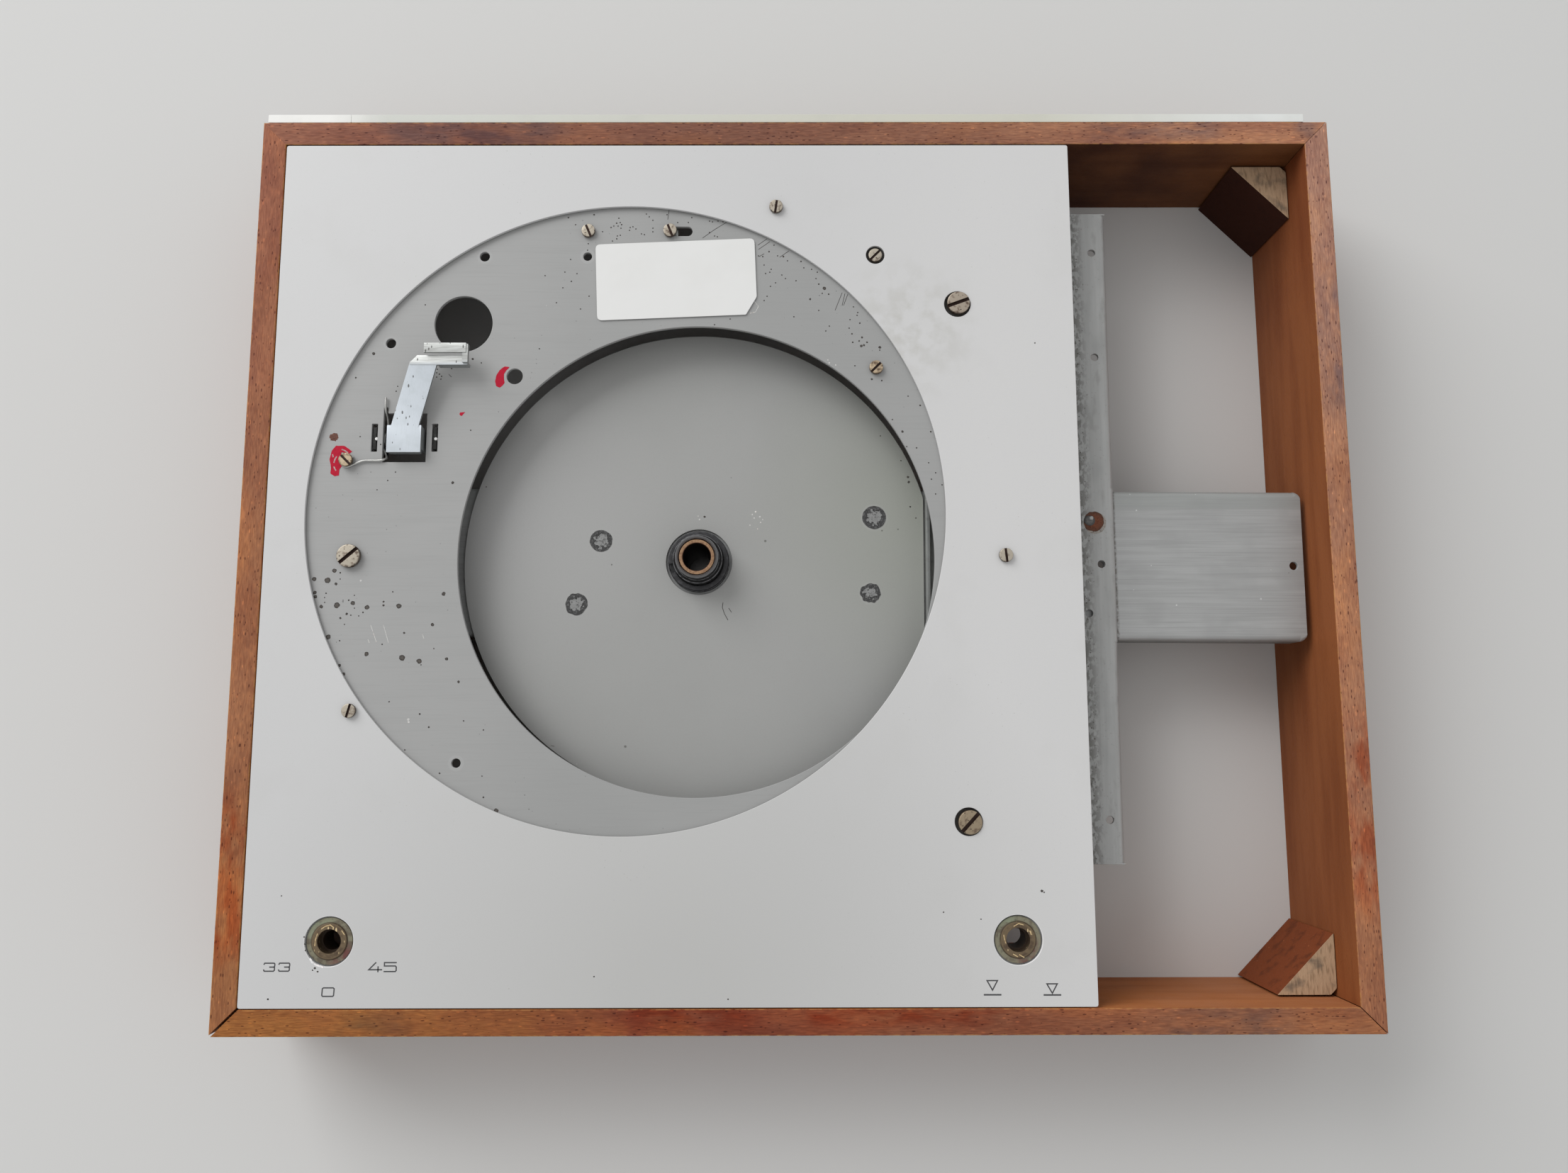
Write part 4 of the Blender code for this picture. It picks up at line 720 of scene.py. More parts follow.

# %% [markdown]
# ## Cover plate
#
# A satin anodised aluminium sheet lies flush with the plinth's top. It is a plate from outlines, so
# the large opening and the smaller holes over bushes and screws have real rounded rims that catch the
# light. Its grey is nearly plain, with dust in places and a smudge, and a pale ring round each bush
# is a painted highlight.

# %% Cover
OPENING_RADIUS = 0.1134
OPENING_INSET = (0.0138, 0.0238)
KNOB_HOLE = 0.00825
BOLT_WINDOW = 0.0048
BOLT_WINDOW_SHIFTS = {"back": (-0.0004, -0.0005), "front": (-0.0005, 0.0002)}
SCREW_WINDOW = 0.0034
SCREW_HOLE = 0.0018

satin = Finish("satin_anodised", (0.615, 0.616, 0.616), 0.55, 0.12, 0.25)
satin.tint((0.66, 0.658, 0.655), satin.ramp(satin.axis("X"), 0.0, 0.07))
satin.tint((0.52, 0.52, 0.51), satin.near(seen((950, 1400), TOP), 0.15, 0.9))
satin.tint((0.54, 0.535, 0.52), satin.clouds(0.03, 0.55, 0.8, 0.25, 6))
grain = satin.noise(0.00035, 2)
satin.tint((0.45, 0.45, 0.45), satin.ramp(grain, 0.55, 0.8, 0.1))
dusty = satin.clouds(0.02, 0.5, 0.68, 1, 5)
satin.tint((0.34, 0.33, 0.31), dusty, satin.times(satin.specks(0.0011, 0.00022, 0.3), 0.4))
satin.tint((0.25, 0.24, 0.23), satin.specks(0.011, 0.0003, 0.25), 0.7)
smudge = satin.near(seen((1280, 465), TOP), 0.03, 0.9)
satin.tint((0.53, 0.525, 0.5), smudge, satin.clouds(0.006, 0.44, 0.64, 0.8, 6))
# Painted highlight: the cover is lightened round each bush hole, where its rim catches the light.
for bush in BUSHES:
    satin.tint((0.82, 0.82, 0.82), satin.near(middle(bush), KNOB_HOLE + 0.00025, 0.02))
satin.relief(0.00001, grain)


def circles(nodes, radius, steps=40):
    return [circle(middle(node), radius, steps) for node in nodes]


near, far = low("cover_plate"), high("cover_plate")
opening = (near[0] + OPENING_INSET[0] + OPENING_RADIUS, far[1] - OPENING_INSET[1] - OPENING_RADIUS)
COVER_SCREWS = ["cover_screw_back", "cover_screw_left", "cover_screw_right"]
holes = [circle(opening, OPENING_RADIUS, 288)]
holes += circles(COVER_SCREWS, SCREW_HOLE) + circles(BUSHES, KNOB_HOLE, 96)
for end, shift in BOLT_WINDOW_SHIFTS.items():
    holes.append(circle(middle("suspension_screw_" + end)[:2] + shift, BOLT_WINDOW, 64))
holes += circles(["clamp_screw_right_back"], SCREW_WINDOW, 56)
parts = plate(rectangle(*near[:2], *far[:2], 0.0009), holes, far[2], far[2] - near[2])
make("cover_satin", parts, satin, "cover_plate")

# %% [markdown]
# ## Chassis plate
#
# The grey plate in the opening is a pressed steel tray: its left, back and front edges fold down. It
# is pitted with small dark spots and has a faint horizontal brush. A folded edge is a plain edge strip
# with a deeper foot. Where a fold ends, the outline visits the same place twice, with and without the
# fold, and the faces between the two close its end.

# %% Chassis holes
WELL_RADIUS = 0.0843
MOTOR_HOLE = 0.0105
MOTOR_SCREWS = (spot(-113.9, 111), spot(-146.8, 78.1))
MOTOR = spot(-120.8, 85.4)
STUD = spot(-101.7, 65.7)
STUD_HOLE = 0.0029
SPARE_HOLES = (spot(-76.3, 111), spot(-118, -72.3))
SPARE_HOLE = 0.0016
SLOT_SHIFT = 0.0064
PIVOT = middle("shifter_pivot_pin")
WINDOW = PIVOT[:2] - (0, 0.00095)
WINDOW_HALF = (0.00775, 0.00895)
NOTCH = (0.0015, 0.0022)
EAR_OFFSET = 0.010775
EAR_SLOT_HALF = np.array([0.00105, 0.0051])
BOLT_HOLE = 0.0029
BUSH_HOLE = 0.0063

holes = [circle(BEARING, WELL_RADIUS, 240), circle(MOTOR, MOTOR_HOLE, 96)]
holes += [circle(place, SCREW_HOLE) for place in MOTOR_SCREWS] + circles(["anchor_screw"], SCREW_HOLE)
holes += [circle(place, SPARE_HOLE) for place in SPARE_HOLES] + [circle(STUD, STUD_HOLE, 56)]
clamps = ["clamp_screw_label_left", "clamp_screw_right_front", "clamp_screw_right_back"]
holes += circles(COVER_SCREWS + clamps, SCREW_HOLE)
slot_centre = middle("clamp_screw_label_right")
slot_outline = circle(slot_centre, SCREW_HOLE)
slot_outline[:, 0] += np.where(slot_outline[:, 0] > slot_centre[0], SLOT_SHIFT, 0)
holes.append(slot_outline)
holes += circles(["suspension_screw_" + end for end in SUSPENSION], BOLT_HOLE)
holes += circles(BUSHES, BUSH_HOLE, 96)
left, front = WINDOW - WINDOW_HALF
right, back = WINDOW + WINDOW_HALF
inner, far = left + NOTCH[0], back + NOTCH[1]
notched = [(left, front), (right, front), (right, back), (inner, back), (inner, far), (left, far)]
holes.append(eased(notched, 0.00025))
for offset in (-EAR_OFFSET, EAR_OFFSET):
    ear = WINDOW + (offset, 0)
    holes.append(rectangle(*(ear - EAR_SLOT_HALF), *(ear + EAR_SLOT_HALF), 0.0002))

# %% [markdown]
# The paint is built first. Then the tray's edge is listed point by point, each with its normal and the
# bend and foot of its fold.

# %% Chassis
CHASSIS_SHEET = 0.0015
CHASSIS_BEND = 0.0022
FOLD_STOP = 0.0005
WASHER_MARK = 0.0028
WASHER_SHINE = 0.45

paint = Finish("chassis_grey", (0.362, 0.364, 0.36), 0.55, 0.1, 0.3)
slow = paint.noise(0.06, 5)
paint.tint((0.33, 0.334, 0.33), paint.ramp(slow, 0.42, 0.66, 0.6))
paint.tint((0.395, 0.396, 0.392), paint.ramp(paint.axis("X"), -0.08, -0.16, 0.8))
brushed = paint.noise(0.0006, 3, paint.stretched((1 / 30, 1, 1)))
paint.tint((0.295, 0.298, 0.294), paint.ramp(brushed, 0.5, 0.72, 0.18))
paint.tint((0.31, 0.314, 0.31), paint.clouds(0.004, 0.52, 0.68, 0.14, 3, paint.stretched((1 / 12, 1, 1))))
# Painted shade: the plate darkens round the screws under the cover's windows, where the gaps lie in shade.
PAINTED_SHADE_ROUND = {"suspension_screw_back": 0.0056, "suspension_screw_front": 0.0056, "clamp_screw_right_back": 0.004}
for screw, reach in PAINTED_SHADE_ROUND.items():
    paint.tint((0.05, 0.046, 0.042), paint.near(middle(screw), reach, 0.05))
pits = paint.times(paint.specks(0.0016, 0.00024, 0.3), paint.clouds(0.022, 0.4, 0.62, 1, 3))
paint.tint((0.12, 0.12, 0.115), pits, 0.7)
paint.tint((0.72, 0.72, 0.7), paint.specks(0.007, 0.0002, 0.18), 0.8)
for place in (*MOTOR_SCREWS, *SPARE_HOLES):
    paint.tint((0.42, 0.425, 0.42), paint.near(place, WASHER_MARK, 0.06), WASHER_SHINE)
paint.rough(paint.ramp(slow, 0.3, 0.7, 0.6, 0.5))
paint.relief(0.00004, paint.times(brushed, 0.15), pits)

near, far = low("chassis_plate"), high("chassis_plate")
(left, front), (right, back) = near[:2], far[:2]
PLATE_TOP, last = far[2], right - FOLD_STOP
cut, fold = (EASE, CHASSIS_SHEET), (CHASSIS_BEND, PLATE_TOP - near[2])
edge, folds = folded_outline([
    ((right, front), (1, -1), *cut), ((right, back), (1, 1), *cut), ((last, back), (0, 1), *cut),
    ((last, back), (0, 1), *fold), ((left, back), (-1, 1), *fold), ((left, front), (-1, -1), *fold),
    ((last, front), (0, -1), *fold), ((last, front), (0, -1), *cut),
])
parts = plate(edge, holes, PLATE_TOP, CHASSIS_SHEET, **folds)
make("chassis_pressed", parts, paint, "chassis_plate")

# %% [markdown]
# ## Rating label
#
# A bare white film label is stuck behind the well, a little askew. Its lower right corner has been
# cut or torn off.

# %% Label
LABEL_TURN = np.radians(2.3)
HALF_X, HALF_Y = 0.0291, 0.0145
LABEL_CUT = (0.0042, 0.0066)
LABEL_EASES = (0.0018, 0.0003, 0.0006, 0.0018, 0.0018)


def turned_about(points, centre, angle):
    """Points turned by an angle, x cos a - y sin a and x sin a + y cos a, and set round a centre."""
    x, y = np.asarray(points, float).T
    turned_points = [x * np.cos(angle) - y * np.sin(angle), x * np.sin(angle) + y * np.cos(angle)]
    return np.stack(turned_points, axis=-1) + centre[:2]


film = Finish("label_film", (0.795, 0.797, 0.785), 0.38)
film.tint((0.73, 0.73, 0.7), film.clouds(0.02, 0.45, 0.75, 0.35))
film.tint((0.42, 0.41, 0.38), film.specks(0.005, 0.00022, 0.22))
film.relief(0.00012, film.noise(0.01, 2))
corners = [
    (-HALF_X, -HALF_Y), (HALF_X - LABEL_CUT[0], -HALF_Y), (HALF_X, LABEL_CUT[1] - HALF_Y),
    (HALF_X, HALF_Y), (-HALF_X, HALF_Y),
]
edge = turned_about(eased(corners, LABEL_EASES), middle("rating_label"), LABEL_TURN)
foot, top = levels("rating_label")
make("label_blank", plate(edge, [], top, top - foot, 0.00006), film, "rating_label")

# %% [markdown]
# ## Screws
#
# The screws have slotted heads in dull nickel, gone brown in the slots. A slot could be cut with a
# Boolean, but a grid can hold it: in each ring, some columns are squeezed between the slot's walls,
# whose angle is asin(half slot / radius), and drop to its floor. The same rings then run down the
# shank, where a helix makes the thread.

# %% Screw finish
SLOT_DIRT_AND_SIDE_SHADE = (0.035, 0.018, 0.013)


def nickel_finish(name, colour, blotched, share):
    """Dull metal with stains, dirty in its slot, and darker down the sides of a head as painted shade."""
    made = Finish(name, colour, 0.45, 0.5, 0.3)
    blotch = made.noise(0.0016, 6)
    made.tint((0.25, 0.185, 0.11), made.near(middle("suspension_screw_front"), 0.006, 0.1), 0.75)
    made.tint((0.33, 0.27, 0.215), made.near(middle("suspension_screw_back"), 0.006, 0.1), 0.6)
    made.tint(blotched, made.ramp(blotch, 0.62 - share, 0.68, 0.85))
    made.tint((0.045, 0.028, 0.02), made.specks(0.0009, 0.00034, 0.5), 0.85)
    # Painted shade down the sides of a head, which face away from the light.
    made.tint(SLOT_DIRT_AND_SIDE_SHADE, made.ramp(made.facing_up(), 0.75, 0.2, 0.7))
    made.tint(SLOT_DIRT_AND_SIDE_SHADE, made.ramp(made.mark(), 0.3, 0.8))
    made.rough(made.ramp(blotch, 0.4, 0.7, 0.65, 0.4))
    made.relief(0.00006, blotch)
    return made


# %% [markdown]
# A screw is a profile of rings, from the slot's half width out over the rim and down to the tip. A
# column of the grid knows from its place whether it lies in the slot.

# %% Screw shape
SLOT_COLUMNS = 3
LAND_COLUMNS = 7


def ring_angles(radius, half_slot):
    """Angles of the columns of each ring, and which of them lie in the slot."""
    wall = np.arcsin(np.clip(half_slot / radius, 0, 1))[:, None]
    on_land = wall + (np.pi / 2 - wall) * np.linspace(0, 1, LAND_COLUMNS)
    quarter = np.hstack([wall * np.linspace(0, 1, SLOT_COLUMNS), on_land])
    flags = np.arange(quarter.shape[1]) < SLOT_COLUMNS
    half = np.hstack([quarter, np.pi - quarter[:, ::-1]])
    return np.hstack([half, half + np.pi]), np.tile(np.append(flags, flags[::-1]), 2)


def slotted_screw(node, finish, slot, shank, head_height, turn, pitch=0.0005):
    """Rings of (radius, height) round the head, down the thread and to the tip, with a slot across."""
    centre, (foot, top), half = middle(node), levels(node), slot[0] / 2
    head = min(high(node)[:2] - low(node)[:2]) / 2
    seat, rim = top - head_height, head_height / 4
    corners = [(half, top), (head, top), (head, seat), (shank, seat), (shank, seat - rim)]
    shape = eased(corners, [0, rim, rim / 2, rim / 3, 0], closed=False)
    thread_z = np.arange(seat - rim, foot + 2 * rim, -pitch / 7)[1:]
    threaded = slice(len(shape), -2)
    thread = np.stack([np.full_like(thread_z, shank), thread_z], axis=1)
    shape = np.concatenate([shape, thread, [(shank * 0.8, foot), (half, foot)]])
    angle, flags = ring_angles(shape[:, 0], half)
    radius = np.broadcast_to(shape[:, :1], angle.shape).copy()
    height = np.where(flags, np.minimum(shape[:, 1:], top - slot[1]), shape[:, 1:])
    phase = height[threaded] / pitch - angle[threaded] / TAU
    radius[threaded] -= 0.3 * pitch * (1 - np.abs(2 * (phase % 1) - 1))
    rings = around(centre, radius, angle + np.radians(turn), height)
    rings = np.concatenate([rings, rings[:, :1]], axis=1)
    flags = looped(flags)
    parts, wear = [rings], [flags & (shape[:, 1:] > seat + rim / 2)]
    for row, mark in ((rings[0, flags], 1), (rings[-1, flags], 0)):
        parts.append(np.stack([np.broadcast_to((*centre[:2], row[0, 2]), row.shape), row]))
        wear.append(np.full((2, len(row)), mark))
    make(node + "_slotted", parts, finish, node, wear=wear)


# %% Small screws
SMALL_SHANK = 0.0014
SMALL_HEAD = 0.0013
SMALL_SLOT = (0.00085, 0.0006)
dull_nickel = nickel_finish("dull_nickel", (0.43, 0.385, 0.315), (0.1, 0.062, 0.045), 0.1)
rusty_nickel = nickel_finish("rusty_nickel", (0.48, 0.38, 0.26), (0.075, 0.038, 0.024), 0.16)
SCREW_TURNS = {
    "cover_screw_back": 82, "cover_screw_left": 75, "cover_screw_right": 96, "clamp_screw_label_left": -67,
    "clamp_screw_label_right": -68, "clamp_screw_right_front": 45, "clamp_screw_right_back": 45,
    "anchor_screw": -45,
}
for screw, turn in SCREW_TURNS.items():
    rusty = screw in ("anchor_screw", "clamp_screw_right_front")
    slotted_screw(screw, rusty_nickel if rusty else dull_nickel, SMALL_SLOT, SMALL_SHANK, SMALL_HEAD, turn)

# %% [markdown]
# ## Nuts, cups and grommets of the suspension
#
# Three long screws hang from the chassis, and the sub-chassis rides on a spring round each of them.
# Little of this shows from above, but it is what the object works by. A nut is a grid whose radius
# follows a hexagon, flats / 2 / cos a, chamfered by a cone. Cups and grommets are turned.

# %% Suspension finishes
ZINC = (0.3, 0.31, 0.3)
BARE_STEEL = (0.16, 0.16, 0.17)

zinc = Finish("zinc_plate", ZINC, 0.42, 0.6)
spangle = zinc.node("TexVoronoi", {"Vector": zinc.place, "Scale": 1 / 0.0035}).outputs["Color"]
shade = zinc.node("SeparateColor", {0: spangle}).outputs[0]
zinc.tint([0.6 * part for part in ZINC], zinc.ramp(shade, 0.2, 1, 0.25))
zinc.tint([0.5 * part for part in ZINC], zinc.clouds(0.004, 0.6, 0.75, 0.5))
zinc.relief(0.00004, zinc.noise(0.0006))
rubber = Finish("grommet_rubber", (0.028, 0.028, 0.028), 0.75)
rubber.tint((0.07, 0.068, 0.062), rubber.clouds(0.003, 0.5, 0.8, 0.5))
rubber.relief(0.00005, rubber.noise(0.0004))


def steel_finish(name, colour, roughness, metallic, worn=(0.25, 0.25, 0.26), share=0.35):
    made = Finish(name, colour, roughness, metallic, 0.25)
    made.tint(worn, made.clouds(0.0015, 0.5, 0.75, share, 5))
    made.tint(worn, made.mark(), made.ramp(made.noise(0.0012), 0.35, 0.6, 0.9, 0.3))
    made.relief(0.00003, made.noise(0.0007))
    return made


spring_steel = steel_finish("spring_steel", (0.17, 0.165, 0.16), 0.34, 0.85)
wire_steel = steel_finish("wire_steel", (0.46, 0.46, 0.44), 0.35, 0.6)
black_steel = steel_finish("burnished_steel", (0.016, 0.016, 0.018), 0.45, 0.2, BARE_STEEL, 0.12)
clip_steel = steel_finish("clip_steel", (0.04, 0.04, 0.042), 0.45, 0.3, BARE_STEEL, 0.3)


# %% Suspension shapes
COLUMNS = 73


def hex_nut(node, flats, bore):
    (foot, top), angle = levels(node), np.linspace(0, TAU, COLUMNS)
    corner = flats / 2 / np.cos((angle + np.pi / 6) % (np.pi / 3) - np.pi / 6)
    cone, soft = flats / 2 * 0.97, bore / 12
    drop = (corner - cone) * np.tan(np.pi / 6)
    rows = [
        (bore, top - soft), (bore + soft, top), (cone, top), (corner, top - drop), (corner, foot + drop),
        (cone, foot), (bore + soft, foot), (bore, foot + soft), (bore, top - soft),
    ]
    radius, height = (np.array([part + 0 * angle for part in column]) for column in zip(*rows))
    make(node + "_chamfered", [around(middle(node), radius, angle, height)], zinc, node)


def turned_ring(node, profile, cut, finish, worn=False):
    """A closed (radius, height) profile with eased corners, turned round the middle of its node."""
    grid = turned(looped(eased(profile, cut)), middle(node))
    wear = [np.broadcast_to(on_corners(len(profile))[:, None], grid.shape[:2])] if worn else None
    make(node + "_turned", [grid], finish, node, wear=wear)


# %% Suspension pieces
BOLT_TURNS = {"left": 41, "back": 20, "front": 47}
BOLT_SHANK = 0.0024
BOLT_HEAD = 0.0019
BOLT_SLOT = (0.0013, 0.001)
BOLT_BORE = 0.0026
NUT_FLATS = 0.008
CUP_WALL = 0.001
CUP_BORE = 0.0028
CUP_EASES = (0.0002, 0.0006, 0.0003, 0.0003, 0.0003, 0.0002)
GROMMET_BORE = 0.0041
GROMMET_NECK = 0.0053
GROMMET_TOP = 0.0076
GROMMET_LIP = 0.0012
for end, turn in BOLT_TURNS.items():
    slotted_screw("suspension_screw_" + end, dull_nickel, BOLT_SLOT, BOLT_SHANK, BOLT_HEAD, turn, 0.0008)
    hex_nut("suspension_nut_" + end, NUT_FLATS, BOLT_BORE)
    cup, ring = "spring_cup_" + end, "spring_grommet_" + end
    foot, rim = levels(cup)
    reach = (high(cup)[0] - low(cup)[0]) / 2
    inner, floor = reach - CUP_WALL, foot + CUP_WALL
    profile = [(CUP_BORE, foot), (reach, foot), (reach, rim), (inner, rim), (inner, floor), (CUP_BORE, floor)]
    turned_ring(cup, profile, CUP_EASES, black_steel, worn=True)
    foot, rim = levels(ring)
    reach = (high(ring)[0] - low(ring)[0]) / 2
    lip, under = foot + GROMMET_LIP, rim - GROMMET_LIP
    profile = [
        (GROMMET_BORE, foot), (reach, foot), (reach, lip), (GROMMET_NECK, lip), (GROMMET_NECK, under),
        (GROMMET_TOP, under), (GROMMET_TOP, rim), (GROMMET_BORE, rim),
    ]
    turned_ring(ring, profile, 0.0004, rubber)

# %% [markdown]
# A spring works between two bodies: its foot stands in a cup that the nut carries, and its top lifts
# the sub-chassis. It is made in two halves that meet at a fixed height, and neither half is left
# attached to a body.

# %% Springs
SPRING_WIRE = 0.00065
SPRING_TURNS = 6
SPRING_RADII = (0.0084, 0.0072)


def spring_half(end, share_from, share_to, name):
    """A helix (r cos a, r sin a, z) whose radius shrinks evenly and whose ends close up."""
    node = "suspension_spring_" + end
    centre = middle("suspension_screw_" + end)
    foot, top = low(node)[2] + SPRING_WIRE, high(node)[2] - SPRING_WIRE
    share = np.linspace(share_from, share_to, 160)
    radius = SPRING_RADII[0] + (SPRING_RADII[1] - SPRING_RADII[0]) * share
    height = foot + (top - foot) * (share - 0.35 * np.sin(TAU * share) / TAU)
    path = around(centre, radius, TAU * SPRING_TURNS * share, height)
    half = make(name, [tube(path, SPRING_WIRE)], spring_steel, node, "plinth")
    half.parent = None
    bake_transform(half)


for end in SUSPENSION:
    spring_half(end, 0.0, 0.5, f"spring_{end}_lower")
    spring_half(end, 0.5, 1.0, f"spring_{end}_upper")

# %% [markdown]
# ## Sub-chassis
#
# The sub-chassis hangs a little askew: a grey disc in the well, spot-welded to a crossbar and to a
# wide channel, the spine, that runs out to the right under the arm board's bar. The disc is yellower
# at the right, where flux has stained it. The bars are zinc plated, with streaks along them.

# %% Disc finish
SUB_TWIST = np.radians(-0.42)
WELDS = (
    (-35.9, 7.65, 4.05, 0.05), (-44.3, -15.65, 4.0, 0.1), (64.0, 16.9, 4.3, 0.03), (62.5, -11.2, 3.6, 0.16),
)


def on_sub(*place):
    """A place in plan from millimetres in the sub-chassis's own turned frame."""
    return turned_about(np.array(place) * MM, BEARING, SUB_TWIST)


disc_paint = Finish("disc_grey", (0.362, 0.364, 0.355), 0.55, 0.1, 0.3)
slow = disc_paint.noise(0.05, 5)
disc_paint.tint((0.337, 0.339, 0.33), disc_paint.ramp(slow, 0.42, 0.66, 0.5))
disc_paint.tint((0.402, 0.402, 0.398), disc_paint.near(on_sub(-78, 20), 0.07, 0.9))
disc_paint.tint((0.3, 0.32, 0.262), disc_paint.near(on_sub(88, 22), 0.075, 0.9), 0.55)
for x, y, radius, ragged in WELDS:
    disc_paint.tint((0.41, 0.412, 0.4), disc_paint.near(on_sub(x, y), 1.22 * radius * MM, 0.12), 0.35)
grain = disc_paint.noise(0.0004, 3)
disc_paint.tint((0.24, 0.24, 0.235), disc_paint.ramp(grain, 0.5, 0.8, 0.14))
pits = disc_paint.specks(0.0062, 0.00055, 0.16)
disc_paint.tint((0.11, 0.112, 0.1), pits, 0.75)
disc_paint.tint((0.55, 0.55, 0.53), disc_paint.specks(0.009, 0.00025, 0.3), 0.7)
disc_paint.rough(disc_paint.ramp(slow, 0.3, 0.7, 0.55, 0.45))
disc_paint.relief(0.00004, disc_paint.times(grain, 0.3), pits)

# %% [markdown]
# The arm board's bar has streaks along Y, and dark corrosion that thins out from its left edge. The
# spine is brushed along X in bands of slightly different grey, with a dirty seam under that bar.

# %% Bar finishes
bar = Finish("bar_zinc", (0.375, 0.379, 0.373), 0.5, 0.15, 0.3)
streaks = bar.noise(0.0012, 5, bar.stretched((1, 1 / 25, 1)))
bar.tint((0.445, 0.45, 0.445), bar.ramp(streaks, 0.4, 0.7, 0.6))
bar.tint((0.305, 0.311, 0.307), bar.clouds(0.009, 0.5, 0.7, 0.45, 2, bar.stretched((1, 0.6, 1))))
bar.tint((0.2, 0.198, 0.185), bar.clouds(0.0035, 0.58, 0.7, 0.3, 6, bar.stretched((1, 0.35, 1))))
left = seen((1511, 560), high("armboard_bar")[2])[0]
fading = bar.ramp(bar.axis("X"), left - 0.009, left - 0.0015, 1, 0.25)
corroded = bar.times(bar.ramp(bar.axis("X"), left + 0.0068, left + 0.0016), fading)
ragged = bar.clouds(0.0012, 0.44, 0.54, 1, 6, bar.stretched((1, 0.6, 1)))
bar.tint((0.12, 0.116, 0.104), corroded, ragged, 0.85)
dots = bar.specks(0.001, 0.00034, 0.5)
bar.tint((0.105, 0.098, 0.086), dots, bar.ramp(corroded, 0, 0.7, 0.95, 0.12))
bar.tint((0.55, 0.57, 0.56), bar.specks(0.004, 0.00022, 0.4), 0.7)
bar.tint((0.12, 0.06, 0.035), bar.specks(0.006, 0.0011, 0.25, bar.stretched((1, 0.5, 1))), corroded, 0.6)
bar.relief(0.00004, streaks, dots)

SEAM = spot(116.6, 0)[0]
spine = Finish("spine_zinc", (0.37, 0.374, 0.372), 0.45, 0.15, 0.3)
lines = spine.noise(0.0005, 5, spine.stretched((1 / 60, 1, 1)))
spine.tint((0.29, 0.296, 0.292), spine.ramp(lines, 0.42, 0.66, 0.6))
spine.tint((0.425, 0.432, 0.43), spine.clouds(0.0024, 0.48, 0.62, 0.45, 3, spine.stretched((1 / 25, 1, 1))))
spine.tint((0.3, 0.304, 0.302), spine.clouds(0.011, 0.48, 0.66, 0.4, 2, spine.stretched((0.8, 1, 1))))
spine.tint((0.285, 0.3, 0.29), spine.ramp(spine.axis("Y"), BEARING[1] + 0.019, BEARING[1] + 0.0205, 0.55))
seam = spine.math("ABSOLUTE", spine.math("SUBTRACT", spine.axis("X"), SEAM))
seam = spine.ramp(seam, 0.0011, 0.0003, 0.8)
spine.tint((0.095, 0.082, 0.066), seam, spine.clouds(0.0012, 0.35, 0.6, 1, 5))
SPINE_TOP = high("subchassis_spine")[2]
# Painted shade: the folds darken downwards from the top face.
spine.tint((0.1, 0.105, 0.1), spine.ramp(spine.axis("Z"), SPINE_TOP - 0.0004, SPINE_TOP - 0.003), 0.7)
spine.tint((0.6, 0.61, 0.6), spine.specks(0.0022, 0.00035, 0.1), 0.8)
spine.tint((0.14, 0.14, 0.13), spine.specks(0.005, 0.0003, 0.14), 0.8)
spine.relief(0.00003, lines)

# %% [markdown]
# These plates are drawn in the sub-chassis's own frame, where its sides lie along X and Y, and then
# turned by the small angle at which it hangs. The spine's corners are quarter circles, along which the
# bend grows from that of a plain edge to that of the fold.

# %% Disc and spine
SUB_SHEET = 0.0015
DISC_SHEET = 0.0012
DISC_HOLE = 0.012
DISC_RADIUS = 0.0856
DISC_FLAT = 0.08215
SPINE_HALF = 0.02775
SPINE_BEND = 0.002
SPINE_CORNER = 0.0025
SPINE_REACH = (0.136, 0.2217)
SPINE_DEPTH = 0.01
ARMBAR_HOLES = ((0.1468, 0.1192), (0.1468, 0.0783), (0.147, 0.0), (0.142, -0.0181), (0.1472, -0.0918))
ARMBAR_HOLE = 0.0014
GROMMET_HOLE = 0.0056
DISC_TOP = high("subchassis_disc")[2]
BAR_TOP = high("armboard_bar")[2]


def sub_plate(name, node, outline, holes, top, finish, slot="zinc", sheet=SUB_SHEET, normals=None, **folds):
    """A plate drawn in the sub-chassis's own frame and turned into place."""
    normals = turned_about(outward(outline) if normals is None else normals, (0, 0), SUB_TWIST)
    outline, *holes = (turned_about(points, BEARING, SUB_TWIST) for points in (outline, *holes))
    make(name, plate(outline, holes, top, sheet, normals=normals, **folds), finish, node)


def spine_outline():
    """Long sides folded down, and ends cut to a quarter circle at each corner."""
    rows = []
    for sign, reach in ((1, SPINE_REACH[1]), (-1, SPINE_REACH[0])):
        for hand in (-1, 1):
            centre = np.array([reach - SPINE_CORNER, hand * (SPINE_HALF - SPINE_CORNER)])
            corner = []
            for share in np.linspace(0, 1, 9)[::hand]:
                normal = sign * np.array([np.cos(np.pi / 2 * share), hand * np.sin(np.pi / 2 * share)])
                bend = EASE + (SPINE_BEND - EASE) * share
                corner.append((sign * centre + SPINE_CORNER * normal, normal, bend, SUB_SHEET))
            fold = [(corner[(hand - 1) // -2 - 1][0], (0, sign * hand), SPINE_BEND, SPINE_DEPTH)]
            rows += fold + corner if hand < 0 else corner + fold
    return folded_outline(rows)


